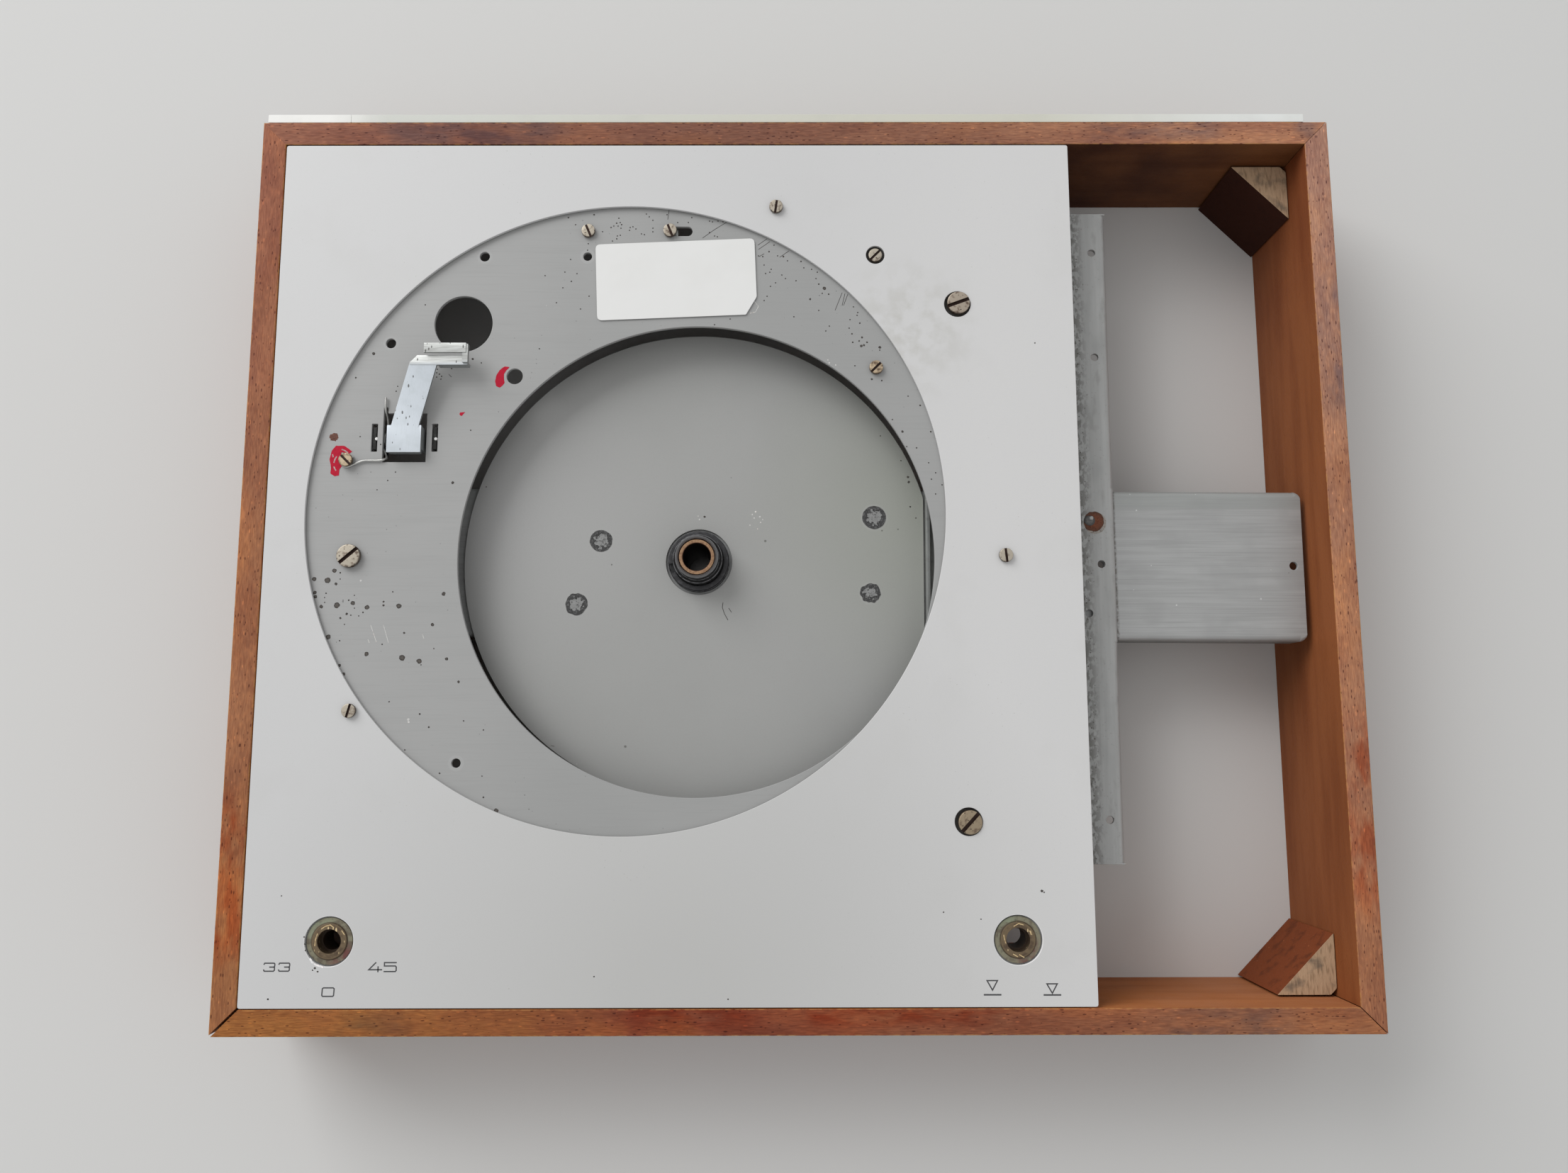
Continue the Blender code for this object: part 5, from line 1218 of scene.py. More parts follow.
flat_angle = np.arccos(DISC_FLAT / DISC_RADIUS)
disc = around((0, 0), DISC_RADIUS, np.linspace(flat_angle, TAU - flat_angle, 240), 0)[:, :2]
well = circle((0, 0), DISC_HOLE, 96)
sub_plate("disc_painted", "subchassis_disc", disc, [well], DISC_TOP, disc_paint, "disc_paint", DISC_SHEET)
edge, folds = spine_outline()
holes = [circle((SPINE_REACH[1] - 0.0037, 0), 0.0015), circle(ARMBAR_HOLES[2], ARMBAR_HOLE)]
holes += [circle((0, 0), 0.0092, 96), circle((-0.1223, 0), GROMMET_HOLE, 96)]
sub_plate("spine_brushed", "subchassis_spine", edge, holes, SPINE_TOP, spine, **folds)

# %% [markdown]
# Both bars are rectangles with folded long sides. The crossbar folds up on both sides. The arm board's
# bar folds down on its right side only, and its flange is cut away where the spine passes.

# %% Bars
CROSSBAR_LEFT = 0.0826
CROSSBAR_WIDTH = 0.0238
CROSSBAR_HALF = 0.107
CROSSBAR_BEND = 0.0017
CROSSBAR_FLANGE = 0.005
SPRING_Y = 0.0926
ARMBAR = (0.1283, -0.1073, 0.1523, 0.1348)
ARMBAR_BEND = 0.0022
ARMBAR_FLANGE = 0.0065
NOTCH_GAP = 0.0006
PLAIN = (EASE, SUB_SHEET)


def bar_outline(left, front, right, back, right_side, left_side=()):
    """A rectangle whose long sides are rows of a place along them and the bend and foot there."""
    rows = [((left, front), (-1, -1), *PLAIN), ((right, front), (1, -1), *PLAIN)]
    rows += [((right, y), (1, 0), *fold) for y, fold in right_side]
    rows += [((right, back), (1, 1), *PLAIN), ((left, back), (-1, 1), *PLAIN)]
    return folded_outline(rows + [((left, y), (-1, 0), *fold) for y, fold in left_side])


stop, right = CROSSBAR_HALF - FOLD_STOP, CROSSBAR_LEFT + CROSSBAR_WIDTH
fold = (CROSSBAR_BEND, CROSSBAR_FLANGE)
side = [(-stop, PLAIN), (-stop, fold), (stop, fold), (stop, PLAIN)]
edge, folds = bar_outline(CROSSBAR_LEFT, -CROSSBAR_HALF, right, CROSSBAR_HALF, side, side[::-1])
holes = [circle((CROSSBAR_LEFT + CROSSBAR_WIDTH / 2, y), GROMMET_HOLE, 96) for y in (-SPRING_Y, SPRING_Y)]
under = low("spring_crossbar")[2]
sub_plate("crossbar_zinc", "spring_crossbar", edge, holes, under, zinc, sense=1, **folds)
near, far, notch = ARMBAR[1] + FOLD_STOP, ARMBAR[3] - FOLD_STOP, SPINE_HALF + NOTCH_GAP
fold, cut = (ARMBAR_BEND, ARMBAR_FLANGE), (ARMBAR_BEND, SUB_SHEET)
side = [(near, PLAIN), (near, fold), (-notch, fold), (-notch, cut)]
side += [(notch, cut), (notch, fold), (far, fold), (far, PLAIN)]
edge, folds = bar_outline(*ARMBAR, side)
holes = [circle(place, ARMBAR_HOLE) for place in ARMBAR_HOLES]
sub_plate("armboard_bar_zinc", "armboard_bar", edge, holes, BAR_TOP, bar, **folds)

# %% [markdown]
# ## Main bearing
#
# The platter's spindle ran in a bronze bushing, held by a blackened steel sleeve that is clipped and
# nutted through the spine. Each piece is one profile swept round the axis. Tints in rings make the
# grey rim, the dark shoulder and the collar, and wear lets bare steel shine through on the corners.

# %% Bearing finishes
RIM = 0.0077
SHOULDER = 0.0089
COLLAR = 0.0111
GROOVE = (0.0106, 0.01085)
GROOVE_DEPTH = 0.0004
SHOULDER_DROP = 0.0048
COLLAR_THICK = 0.0027
BUSHING_RADIUS = 0.0063
BUSHING_BORE = 0.005
CAP_BOSS = 0.0025
CAP_THICK = 0.003
BORE = 0.0066

sleeve = Finish("sleeve_steel", (0.004, 0.004, 0.004), 0.45, 0.2, 0.2)
sleeve.tint((0.024, 0.025, 0.026), sleeve.near(BEARING, GROOVE[0], 0.01))
sleeve.tint((0.005, 0.005, 0.005), sleeve.near(BEARING, SHOULDER + 0.0002, 0.02))
sleeve.tint((0.095, 0.094, 0.094), sleeve.near(BEARING, RIM, 0.01))
sleeve.tint((0.03, 0.018, 0.014), sleeve.near(BEARING, BORE + 0.0004, 0.03))
sleeve.tint((0.08, 0.08, 0.082), sleeve.clouds(0.0015, 0.52, 0.7, 0.22, 6))
sleeve.tint((0.27, 0.27, 0.28), sleeve.mark(), sleeve.ramp(sleeve.noise(0.0014), 0.35, 0.55, 0.8, 0.2))
sleeve.relief(0.00003, sleeve.noise(0.0007))
bronze = Finish("bearing_bronze", (0.33, 0.205, 0.118), 0.45, 0.5, 0.3)
bronze.tint((0.2, 0.108, 0.062), bronze.clouds(0.0009, 0.42, 0.62, 0.8, 6))
bronze.tint((0.13, 0.066, 0.04), bronze.near(BEARING, 0.0053, 0.03))
mouth = high("bearing_bushing")[2]
bronze.tint((0.012, 0.008, 0.006), bronze.ramp(bronze.axis("Z"), mouth - 0.0002, mouth - 0.001))
bronze.relief(0.00002, bronze.noise(0.0003))

# %% Bearing
foot, top = levels("bearing_sleeve")
step, seat = top - SHOULDER_DROP, SPINE_TOP + 0.0003
flat = seat + COLLAR_THICK
groove = flat - GROOVE_DEPTH
profile = [
    (BORE, foot), (SHOULDER, foot), (SHOULDER, seat), (COLLAR, seat), (COLLAR, flat), (GROOVE[1], flat),
    (GROOVE[1], groove), (GROOVE[0], groove), (GROOVE[0], flat), (SHOULDER, flat), (SHOULDER, step),
    (RIM, step), (RIM, top), (BORE, top),
]
eases = [0.0002, 0.0003, 0.0001, 0.00012, 0.00012, *[0.00005] * 4, 0.0001, 0.0003, 0.0002, 0.0002, 0.0001]
turned_ring("bearing_sleeve", profile, eases, sleeve, worn=True)
foot, top = levels("bearing_bushing")
profile = [(BUSHING_BORE, foot), (BUSHING_RADIUS, foot), (BUSHING_RADIUS, top), (BUSHING_BORE, top)]
turned_ring("bearing_bushing", profile, [0.0002, 0.0002, 0.00015, 0.0003], bronze)


def turned_solid(name, node, profile, cut, finish):
    """A profile that starts and ends on the axis, turned round the bearing."""
    make(name, [turned(eased(profile, cut, closed=False), BEARING)], finish, node)


foot, top = levels("bearing_cap")
boss = BORE - 0.0003
profile = [(0, top), (boss, top), (boss, top - CAP_BOSS)]
profile += [(SHOULDER, foot + CAP_THICK), (SHOULDER, foot), (0, foot)]
turned_solid("bearing_cap_turned", "bearing_cap", profile, 0.0003, black_steel)
foot, top = levels("bearing_thrust_pad")
profile = [(0, top), (0.006, top), (0.006, foot), (0, foot)]
turned_solid("bearing_pad_turned", "bearing_thrust_pad", profile, 0.0002, spring_steel)
hex_nut("bearing_nut", 0.024, 0.0092)

# %% [markdown]
# The clip is a flat steel ring with a mouth: a small eased rectangle carried round an arc that stops
# short of a full turn, with both ends closed.

# %% Clip
CLIP_RADII = (0.0092, 0.0108)
CLIP_MOUTH = np.radians(20)
CLIP_TURN = np.radians(196) + SUB_TWIST


def carried(section, path, normals, ends=True):
    """A closed (out, up) section carried along a path in plan: (P + out N, up)."""
    out, up = looped(section).T[..., None]
    place = path[:, None] + out * normals[:, None]
    grid = np.concatenate([place, np.broadcast_to(up, (*place.shape[:2], 1))], axis=-1)
    return closed_ends(grid) if ends else grid


foot, top = levels("bearing_clip")
arc = np.linspace(CLIP_TURN + CLIP_MOUTH / 2, CLIP_TURN + TAU - CLIP_MOUTH / 2, 120)
normals = around((0, 0), 1, arc, 0)[:, :2]
section = rectangle(CLIP_RADII[0], foot, CLIP_RADII[1], top, 0.00015)
clip = carried(section, np.tile(BEARING[:2], (120, 1)), normals)
make("bearing_clip_sprung", [clip], clip_steel, "bearing_clip")

# %% [markdown]
# ## Knob bushes
#
# Two threaded brass bushes stand in the cover's front corners, where the speed selector and the arm
# lift had their knobs. Their brass is dirty: olive on the flange, with red and green patches, and
# bright scratches round the mouth, whose glints are painted. A dark ring round the foot of the body
# and the black bore are painted shade. Both are the same turned profile.

# %% Bush finish
brass = Finish("dirty_brass", (0.225, 0.21, 0.148), 0.5, 0.35, 0.3)
patched = brass.noise(0.004, 6)
grimy = brass.clouds(0.0022, 0.46, 0.6, 0.75, 6)
brass.tint((0.11, 0.088, 0.066), grimy)
bright = brass.specks(0.0011, 0.0004, 0.5, brass.stretched((1, 0.35, 1), 0.6))
for bush in BUSHES:
    centre = middle(bush)[:2]
    green = brass.near(centre + (-0.005, 0.003), 0.0085, 0.6)
    brass.tint((0.25, 0.275, 0.19), green, brass.ramp(patched, 0.4, 0.6))
    red = brass.near(centre + (0.0045, -0.005), 0.006, 0.6)
    brass.tint((0.16, 0.066, 0.058), red, brass.ramp(patched, 0.62, 0.45))
    # Painted shade: a dark ring round the foot of the body.
    brass.tint((0.06, 0.038, 0.022), brass.near(centre, 0.0064, 0.04), 0.85)
    brass.tint((0.155, 0.112, 0.066), brass.near(centre, 0.006, 0.05))
    brass.tint((0.07, 0.045, 0.03), brass.near(centre, 0.0058, 0.1), grimy)
    # Bright scratches, their glints painted.
    brass.tint((0.72, 0.56, 0.32), brass.near(centre, 0.0062, 0.1), bright)
    # Painted shade: the bore is darkened.
    brass.tint((0.04, 0.025, 0.016), brass.near(centre, 0.0041, 0.04))
brass.tint((0.05, 0.04, 0.025), brass.clouds(0.0008, 0.62, 0.75, 0.7))
brass.relief(0.00012, patched)

# %% Bushes
BUSH = 0.006
BUSH_BORE = 0.004
BUSH_THROAT = 0.0033
BUSH_FLANGE = 0.0078
BUSH_MOUTH = 0.0035
BUSH_PITCH = 0.00075
for node in BUSHES:
    (foot, top), seat = levels(node), PLATE_TOP + 0.0003
    flange, mouth = seat + 0.0005, top - BUSH_MOUTH
    head = [
        (BUSH_BORE, top), (BUSH, top), (BUSH, flange), (BUSH_FLANGE, flange), (BUSH_FLANGE, seat),
        (BUSH, seat),
    ]
    head = eased(head, [0.0005, 0.0004, 0.0002, 0.0002, 0.0001, 0.0001], closed=False)
    thread_z = np.arange(seat - 0.0004, foot + 0.0006, -BUSH_PITCH / 6)
    tooth = 0.22 * BUSH_PITCH * np.abs(2 * ((thread_z / BUSH_PITCH) % 1) - 1)
    thread = np.stack([BUSH - tooth, thread_z], axis=1)
    bore = [
        (BUSH - 0.0004, foot), (BUSH_THROAT, foot), (BUSH_THROAT, mouth), (BUSH_BORE, mouth),
        (BUSH_BORE, top),
    ]
    make(node + "_turned", [turned(np.concatenate([head, thread, bore]), middle(node))], brass, node)
    hex_nut(node + "_nut", 0.016, BUSH + 0.0001)
for end in ("label_left", "label_right", "right_front", "right_back"):
    hex_nut("clamp_nut_" + end, 0.0055, SMALL_SHANK + 0.0001)

# %% [markdown]
# ## Belt shifter
#
# The shifter is a bright zinc-plated pressing on a pin: a channel, an arm that rises to the right, and
# a fork that the belt ran through. Its shape is right in the solid model, but sheet metal never has
# such sharp corners. So a copy of that solid is merged, its flat faces are joined again, and a Bevel
# rounds every corner a little.

# %% Shifter finish
lever = Finish("bright_zinc", (0.64, 0.69, 0.74), 0.38, 0.35, 0.4)
lever.tint((0.54, 0.59, 0.62), lever.clouds(0.004, 0.45, 0.7, 0.5))
lines = lever.noise(0.0004, 3, lever.stretched((1, 1 / 12, 1), 0.25))
lever.tint((0.45, 0.48, 0.49), lever.ramp(lines, 0.5, 0.75, 0.2))
fork = lever.ramp(lever.axis("Y"), *seen([(598, 514), (598, 507)], high("belt_shifter")[2])[:, 1])
lever.tint((0.56, 0.575, 0.56), fork)
across = lever.stretched((1 / 14, 1, 1))
lever.tint((0.38, 0.385, 0.37), fork, lever.clouds(0.0005, 0.42, 0.62, 0.7, 4, across))
# Painted shade: faces that do not look up are darkened.
lever.tint((0.17, 0.18, 0.17), lever.ramp(lever.facing_up(), 0.72, 0.25, 0.75))
dashes = lever.specks(0.0011, 0.00032, 0.42, lever.stretched((1, 0.45, 1), -0.3))
lever.tint((0.09, 0.09, 0.085), dashes, 0.85)
lever.relief(0.00004, lever.times(lines, 0.3), dashes)


# %% Shifter
LEVER_EASE = 0.00028
PIN_HEAD = 0.0006


def from_solid(node, name, finish, ease):
    """A merged copy of a CAD node with its corners rounded by a Bevel."""
    mesh = frame["nodes"][node].data.copy()
    work = bmesh.new()
    work.from_mesh(mesh)
    bmesh.ops.remove_doubles(work, verts=work.verts, dist=MERGE)
    bmesh.ops.dissolve_limit(work, angle_limit=0.02, verts=work.verts, edges=work.edges)
    work.to_mesh(mesh)
    work.free()
    mesh.materials.clear()
    mesh.shade_smooth()
    rounding = dressed(name, mesh, finish, node).modifiers.new("rounding", "BEVEL")
    rounding.width = ease
    rounding.segments = 3
    rounding.limit_method = "ANGLE"
    rounding.angle_limit = 0.5
    rounding.harden_normals = True


from_solid("belt_shifter", "shifter_pressing", lever, LEVER_EASE)
# The bracket is nearly black as painted shade for the window and ear slots it is seen through.
bracket_painted_shade = steel_finish("bracket_painted_shade", (0.02, 0.02, 0.019), 0.6, 0.1, (0.1, 0.1, 0.097))
from_solid("shifter_bracket", "shifter_bracket_bent", bracket_painted_shade, 0.0002)
near, far = low("shifter_pivot_pin"), high("shifter_pivot_pin")
radius = (far[2] - near[2]) / 2
profile = eased([(0, near[0]), (radius, near[0]), (radius, far[0]), (0, far[0])], 0.0004, closed=False)
pin = turned(profile, (0, 0), 32)[..., [2, 0, 1]] + (0, *PIVOT[1:])
make("shifter_pin_turned", [pin], zinc, "shifter_pivot_pin")
top = high("shifter_bracket")[2] + 0.00015
profile = [(0, top), (PIN_HEAD, top), (PIN_HEAD, top - 0.002), (0, top - 0.002)]
profile = eased(profile, 0.0003, closed=False)
rivets = [turned(profile, place, 20) for place in seen([(531, 619), (614.5, 619)], top)]
# The rivet ends are white as a painted glint.
make("shifter_ear_rivets", rivets, Finish("rivet_painted_glint", (0.8, 0.8, 0.79), 0.4))

# %% [markdown]
# ## Return spring
#
# One wire is hooked round the anchor screw, runs to the window, dives under the plate, curls twice
# round the pin and comes up again through the notch. Its route repeats the solid model's. The corners
# are eased into one smooth line before the round section is carried along it.

# %% Return spring
WIRE = 0.0004
CURL = 0.0022
CURL_PITCH = 0.00125
CURL_TURNS = 2
HOOK = 0.00225
FREE_LEG = 0.0056

lay, under = PLATE_TOP + 0.0003 + WIRE, PLATE_TOP - CHASSIS_SHEET - 2 * WIRE
left, front = WINDOW - WINDOW_HALF + (0, WIRE)
back, (y, z) = WINDOW[1] + WINDOW_HALF[1], PIVOT[1:]
coil_right = left + NOTCH[0] / 2
coil_left = coil_right - CURL_TURNS * CURL_PITCH
hook = around(middle("anchor_screw"), HOOK, np.radians(np.linspace(25, 300, 28)), lay)
leg = [
    (hook[-1, 0] + 2 * HOOK, front, lay), (left - WIRE, front, lay), (coil_right, front + 0.0003, lay),
    (left + NOTCH[0], front + CURL / 2, PLATE_TOP - CHASSIS_SHEET / 2),
    (coil_right, front + CURL, under), (coil_left, y - CURL, z + CURL),
]
turn = np.linspace(0, TAU * CURL_TURNS, 60)
curls = [coil_left + CURL_PITCH * turn / TAU, y + CURL * np.sin(turn), z + CURL * np.cos(turn)]
rise = [
    (coil_right, y + CURL, z + CURL), (coil_right, back - CURL / 2, under + WIRE),
    (coil_right, back + NOTCH[1] / 2, lay - WIRE / 2), (coil_right, back + NOTCH[1], lay + WIRE / 2),
    (coil_right, back + FREE_LEG, lay + WIRE / 2),
]
path = eased(np.concatenate([hook, leg, np.transpose(curls), rise]), 0.0012, closed=False)
wire = tube(resampled(path, 0.0002), WIRE)
make("return_spring_wire", [wire], wire_steel, "shifter_return_spring")

# %% [markdown]
# ## Legends
#
# The cover is printed with 33, 45 and a ring round the speed selector, and with two triangles over a
# bar at the arm lift. A font could write them, but the strokes are so plain that each is a narrow
# ribbon carried along a few points, standing 0.02 mm proud like ink.

# %% Legends
INK = 0.00002
STROKE = 0.00042

ink = Finish("printed_ink", (0.052, 0.052, 0.056), 0.6)
ink.tint((0.13, 0.13, 0.13), ink.clouds(0.0008, 0.55, 0.8, 0.35))


def stroke(points, closed=False, width=STROKE):
    """A flat ribbon of ink along a path, or round a loop."""
    half, path = width / 2, spot(*points)
    section = np.array([(-half, TOP), (half, TOP), (half, TOP + INK), (-half, TOP + INK)])
    normals = outward(path, closed)
    if closed:
        return carried(section, looped(path), looped(normals), False)
    return carried(section, path, normals)


def three(x, y):
    """A wide three: an open upper loop, a short middle bar and a fuller lower loop."""
    upper = [(0.1, 2.1), (0.4, 2.6), (3.55, 2.6), (3.8, 2.35), (3.8, 1.65), (3.6, 1.35)]
    lower = [(3.6, 1.35), (3.75, 1.1), (3.75, 0.35), (3.45, 0), (0.35, 0), (0.05, 0.55)]
    return [stroke(np.add(line, (x, y))) for line in (upper, [(1.95, 1.32), (3.65, 1.32)], lower)]


def triangle(x, top, tip, bar):
    """An outlined triangle on its point, over a bar."""
    loop = stroke([(x - 1.75, top), (x, tip), (x + 1.75, top)], True)
    return [loop, stroke([(x - 2.95, bar), (x + 2.95, bar)], width=0.00052)]


FOUR = [[(-142, -138.4), (-144.4, -140.8), (-139.9, -140.8)], [(-141.3, -139.7), (-141.3, -141.6)]]
FIVE = [(-135.1, -138.5), (-139.2, -138.5), (-139.2, -139.6), (-135.5, -139.6), (-135.2, -139.95),
        (-135.2, -141.1), (-135.5, -141.4), (-139.4, -141.4)]
OFF = [(-159.45, -149.4), (-156.1, -149.4), (-155.8, -149.1), (-155.7, -146.95), (-156, -146.65),
       (-159.35, -146.65), (-159.65, -146.95), (-159.75, -149.1)]
printing = three(-179.8, -141.2) + three(-174.8, -141.2) + [stroke(line) for line in (*FOUR, FIVE)]
printing += [stroke(OFF, True), *triangle(64.95, -144.8, -147.9, -149.4)]
printing += triangle(85, -145.9, -148.95, -149.5)
make("legends_ink", printing, ink)

# %% [markdown]
# ## Chips, scratches, lacquer and welds
#
# The plates carry traces of a long life. Each was read off the photograph as a pixel place, and
# `seen` sets it down on the plate's own level. A chip is a ragged disc 0.02 mm proud, whose rim is
# sunk into the plate. A scratch is a narrow ribbon, and lacquer is a thin plate with a ragged edge.

# %% Marks maker
PIXEL = 0.000255
FLAKE = 0.00002


def flake(place, radius, level, seed=0, ragged=0.2, height=FLAKE):
    """Rings of radius r s (1 + ragged wave(a)) round a place, the rim and the underside being sunk."""
    columns, waves = (15, 5) if radius < 0.001 else (61, 16)
    turn = np.linspace(0, TAU, columns)
    share, up = np.array([(0, 1), (0.45, 1), (0.8, 0.9), (1, 0.2), (1, -1), (0, -1)]).T[..., None]
    reach = radius * share * (1 + ragged * ripple(turn / TAU, seed, waves))
    return around(place, reach, turn, level + height * up)


def flake_wear(grid, strength=1.0):
    """One in the middle of a flake, falling to zero at its rim."""
    return np.array([1, 0.9, 0.4, 0, 0, 0])[:, None] * strength + np.zeros(grid.shape[1])


def flakes(name, marks, level, finish, body="plinth"):
    """One piece of many flakes, from rows of pixel u, pixel v and, unless it is 1, radius in pixels."""
    sizes = [mark[2] if len(mark) > 2 else 1 for mark in marks]
    places = enumerate(zip(seen([mark[:2] for mark in marks], level), sizes))
    grids = [flake(place, PIXEL * size, level, seed) for seed, (place, size) in places]
    wear = [flake_wear(grid, min(1, size / 3)) for grid, size in zip(grids, sizes)]
    make(name, grids, finish, body=body, wear=wear)


def ribbons(name, paths, width, level, finish, body="plinth"):
    """One piece of flat ribbons, their width in pixels, along paths read off as pixels."""
    half, parts = PIXEL * width / 2, []
    section = np.array([(-half, -FLAKE), (half, -FLAKE), (half, FLAKE), (-half, FLAKE)]) + (0, level)
    for path in (seen(pixels, level) for pixels in paths):
        parts.append(carried(section, path, outward(path, False)))
    make(name, parts, finish, body=body)


def mark_finish(name, colour, middle_colour, roughness=0.7):
    made = Finish(name, colour, roughness, 0, 0.2)
    made.tint(middle_colour, made.mark())
    made.stain((0.5, 0.45, 0.45), made.clouds(0.0006, 0.5, 0.64, 0.7, 5))
    made.stain((1.6, 1.4, 1.3), made.clouds(0.0009, 0.56, 0.68, 0.5, 5))
    return made


# %% Chips
LEFT_CHIPS = (
    (472, 805, 3), (480, 808, 1.2), (443, 817, 3), (462, 819, 4), (474, 824, 2), (480, 817, 0.9),
    (460, 837, 1.1), (458, 843, 0.9), (444, 836, 2.5), (445, 842, 2.5), (458, 850, 0.9), (453, 856, 2.5),
    (475, 854, 4), (492, 847, 1.2), (498, 851, 3), (500, 840, 0.9), (500, 858, 0.9), (518, 857, 3.2),
    (512, 864, 1.2), (489, 866, 1.7), (480, 872, 1.5), (495, 868), (506, 869, 0.9), (486, 881, 0.9),
    (554, 835), (541, 849, 1.4), (541, 854, 1.5), (563, 855, 3.5), (626, 838, 2.7), (610, 881.5, 2.3),
    (570, 893, 1.5), (463, 899, 3.5), (479, 904), (539, 909), (517, 923, 3), (567, 928, 4), (591, 933, 3.5),
    (594, 938, 0.9), (630, 929.5, 2.2), (612, 915, 0.9), (647, 962, 1.8), (479, 939, 2), (485, 951, 2.2),
    (549, 990), (592, 1007.5, 1.3), (654, 1017), (682, 1030), (605, 1026, 1.3), (571, 1058),
    (620, 1091, 1.2), (682, 1125, 1.2), (700, 1144, 3), (680, 1095, 0.9), (577, 1087, 0.9), (527, 499, 2.2),
    (502, 533, 1.3), (559, 552), (667, 506.5, 1.6), (638.5, 681, 2), (600, 430), (508, 616), (537, 627),
    (558, 666), (532, 691, 0.9), (547, 678), (769, 389), (797, 384), (794, 406), (785, 427), (761, 492),
    (664, 607), (679, 512), (686, 687), (561, 545, 0.9), (617, 521), (616, 526), (620, 528, 1.1),
    (623, 531), (616, 532), (622, 535), (630, 515, 1.1), (637, 520),
)
LABEL_CHIPS = (
    (802, 307, 1.2), (812, 317), (838, 303, 1.3), (873, 308), (830, 344), (829, 353), (805, 366),
    (814, 386), (806, 397, 1.1), (819, 436), (831, 418), (850, 327), (862, 321, 1.1), (866, 319),
    (870, 315, 1.2), (872, 319), (875, 314), (877, 317, 1.1), (876, 322), (889, 321), (888, 325),
    (893, 320), (897, 323), (905, 330), (909, 331), (921, 322), (921, 327), (912, 302), (916, 306),
    (921, 311), (875, 332), (871, 333), (870, 337, 1.1), (864, 340), (941, 303), (956, 314), (971, 314),
    (976, 307), (1001, 312), (1005, 313), (1013, 312), (1020, 313), (1018, 309), (1001, 328), (1008, 333),
    (1012, 334), (1092, 346), (1085, 355, 1.2), (1076, 362, 1.1), (1070, 361), (1078, 374), (1088, 380),
    (1086, 384), (1080, 386), (1105, 362, 1.4), (1111, 368), (1097, 361), (1103, 388), (1108, 393),
    (1087, 404), (1094, 399), (1082, 418), (1078, 424), (1123, 396), (1134, 378), (1130, 369, 1.2),
    (1120, 447), (1030, 450), (1008, 458),
)
RIGHT_CHIPS = (
    (1145, 380), (1153, 384), (1151, 393), (1155, 401, 1.2), (1163, 407, 2.5), (1160, 414), (1169, 415, 1.2),
    (1143, 422, 1.5), (1155, 438), (1204, 433), (1210, 441), (1209, 445), (1199, 451), (1213, 456, 1.2),
    (1198, 463), (1202, 471, 1.2), (1170, 460), (1165, 467), (1216, 476, 1.5), (1212, 481, 1.2),
    (1223, 483, 1.3), (1203, 483, 1.2), (1215, 488, 2), (1219, 487, 1.5), (1241, 490, 2), (1241, 494),
    (1206, 516), (1230, 535, 1.5), (1244, 537, 1.2), (1281, 559), (1298, 572, 1.3), (1259, 592),
    (1273, 609, 1.7), (1313, 609, 1.2), (1293, 632, 1.1), (1279, 630), (1310, 653), (1320, 667), (1314, 676),
    (1329, 684), (1320, 697),
)
DISC_CHIPS = (
    (1281, 673, 1.7), (1282, 680, 1.8), (1284, 715, 1.2), (1292, 731), (1271, 650), (1242, 615, 0.9),
    (994, 729, 1.6),
)
COVER_CHIPS = (
    (1470, 1257, 1.8), (1473, 1259), (444, 1366, 1.5), (448, 1371, 1.2), (441, 1369), (429, 1322),
    (430, 1332), (431, 1341), (397, 1264, 0.9), (378, 1410, 1.3), (838, 1378), (1027, 1410), (1331, 1287),
    (1460, 484), (1384, 1297, 0.9),
)
PALE_CHIPS = ((509, 819, 1.5), (576, 1015, 1.6), (576, 1019, 1.6), (1168, 508), (1170, 512, 1.1), (1179, 515))
DISC_DUST = (
    (987, 733, 1.2), (985, 728, 0.9), (1058, 741), (1061, 726, 1.2), (1064, 731), (1066, 722, 1.3),
    (1069, 746, 0.9), (1072, 729, 1.2), (1073, 737), (1076, 733, 0.9),
)
rusted = mark_finish("rusted_chip", (0.042, 0.038, 0.035), (0.115, 0.105, 0.095))
bare = mark_finish("bare_fleck", (0.62, 0.62, 0.6), (0.7, 0.7, 0.69))
flakes("chips_left", LEFT_CHIPS, PLATE_TOP, rusted)
flakes("chips_label", LABEL_CHIPS, PLATE_TOP, rusted)
flakes("chips_right", RIGHT_CHIPS, PLATE_TOP, rusted)
flakes("chips_disc", DISC_CHIPS, DISC_TOP, rusted, "subchassis")
flakes("chips_cover", COVER_CHIPS, TOP, rusted)
flakes("flecks_chassis", PALE_CHIPS, PLATE_TOP, bare)
flakes("dust_disc", DISC_DUST, DISC_TOP, bare, "subchassis")

# %% [markdown]
# Scratches, brass shavings and the cover's worn rim, whose white is partly a painted highlight, are
# ribbons along two to four pixels each. The brown spot is a single larger flake.

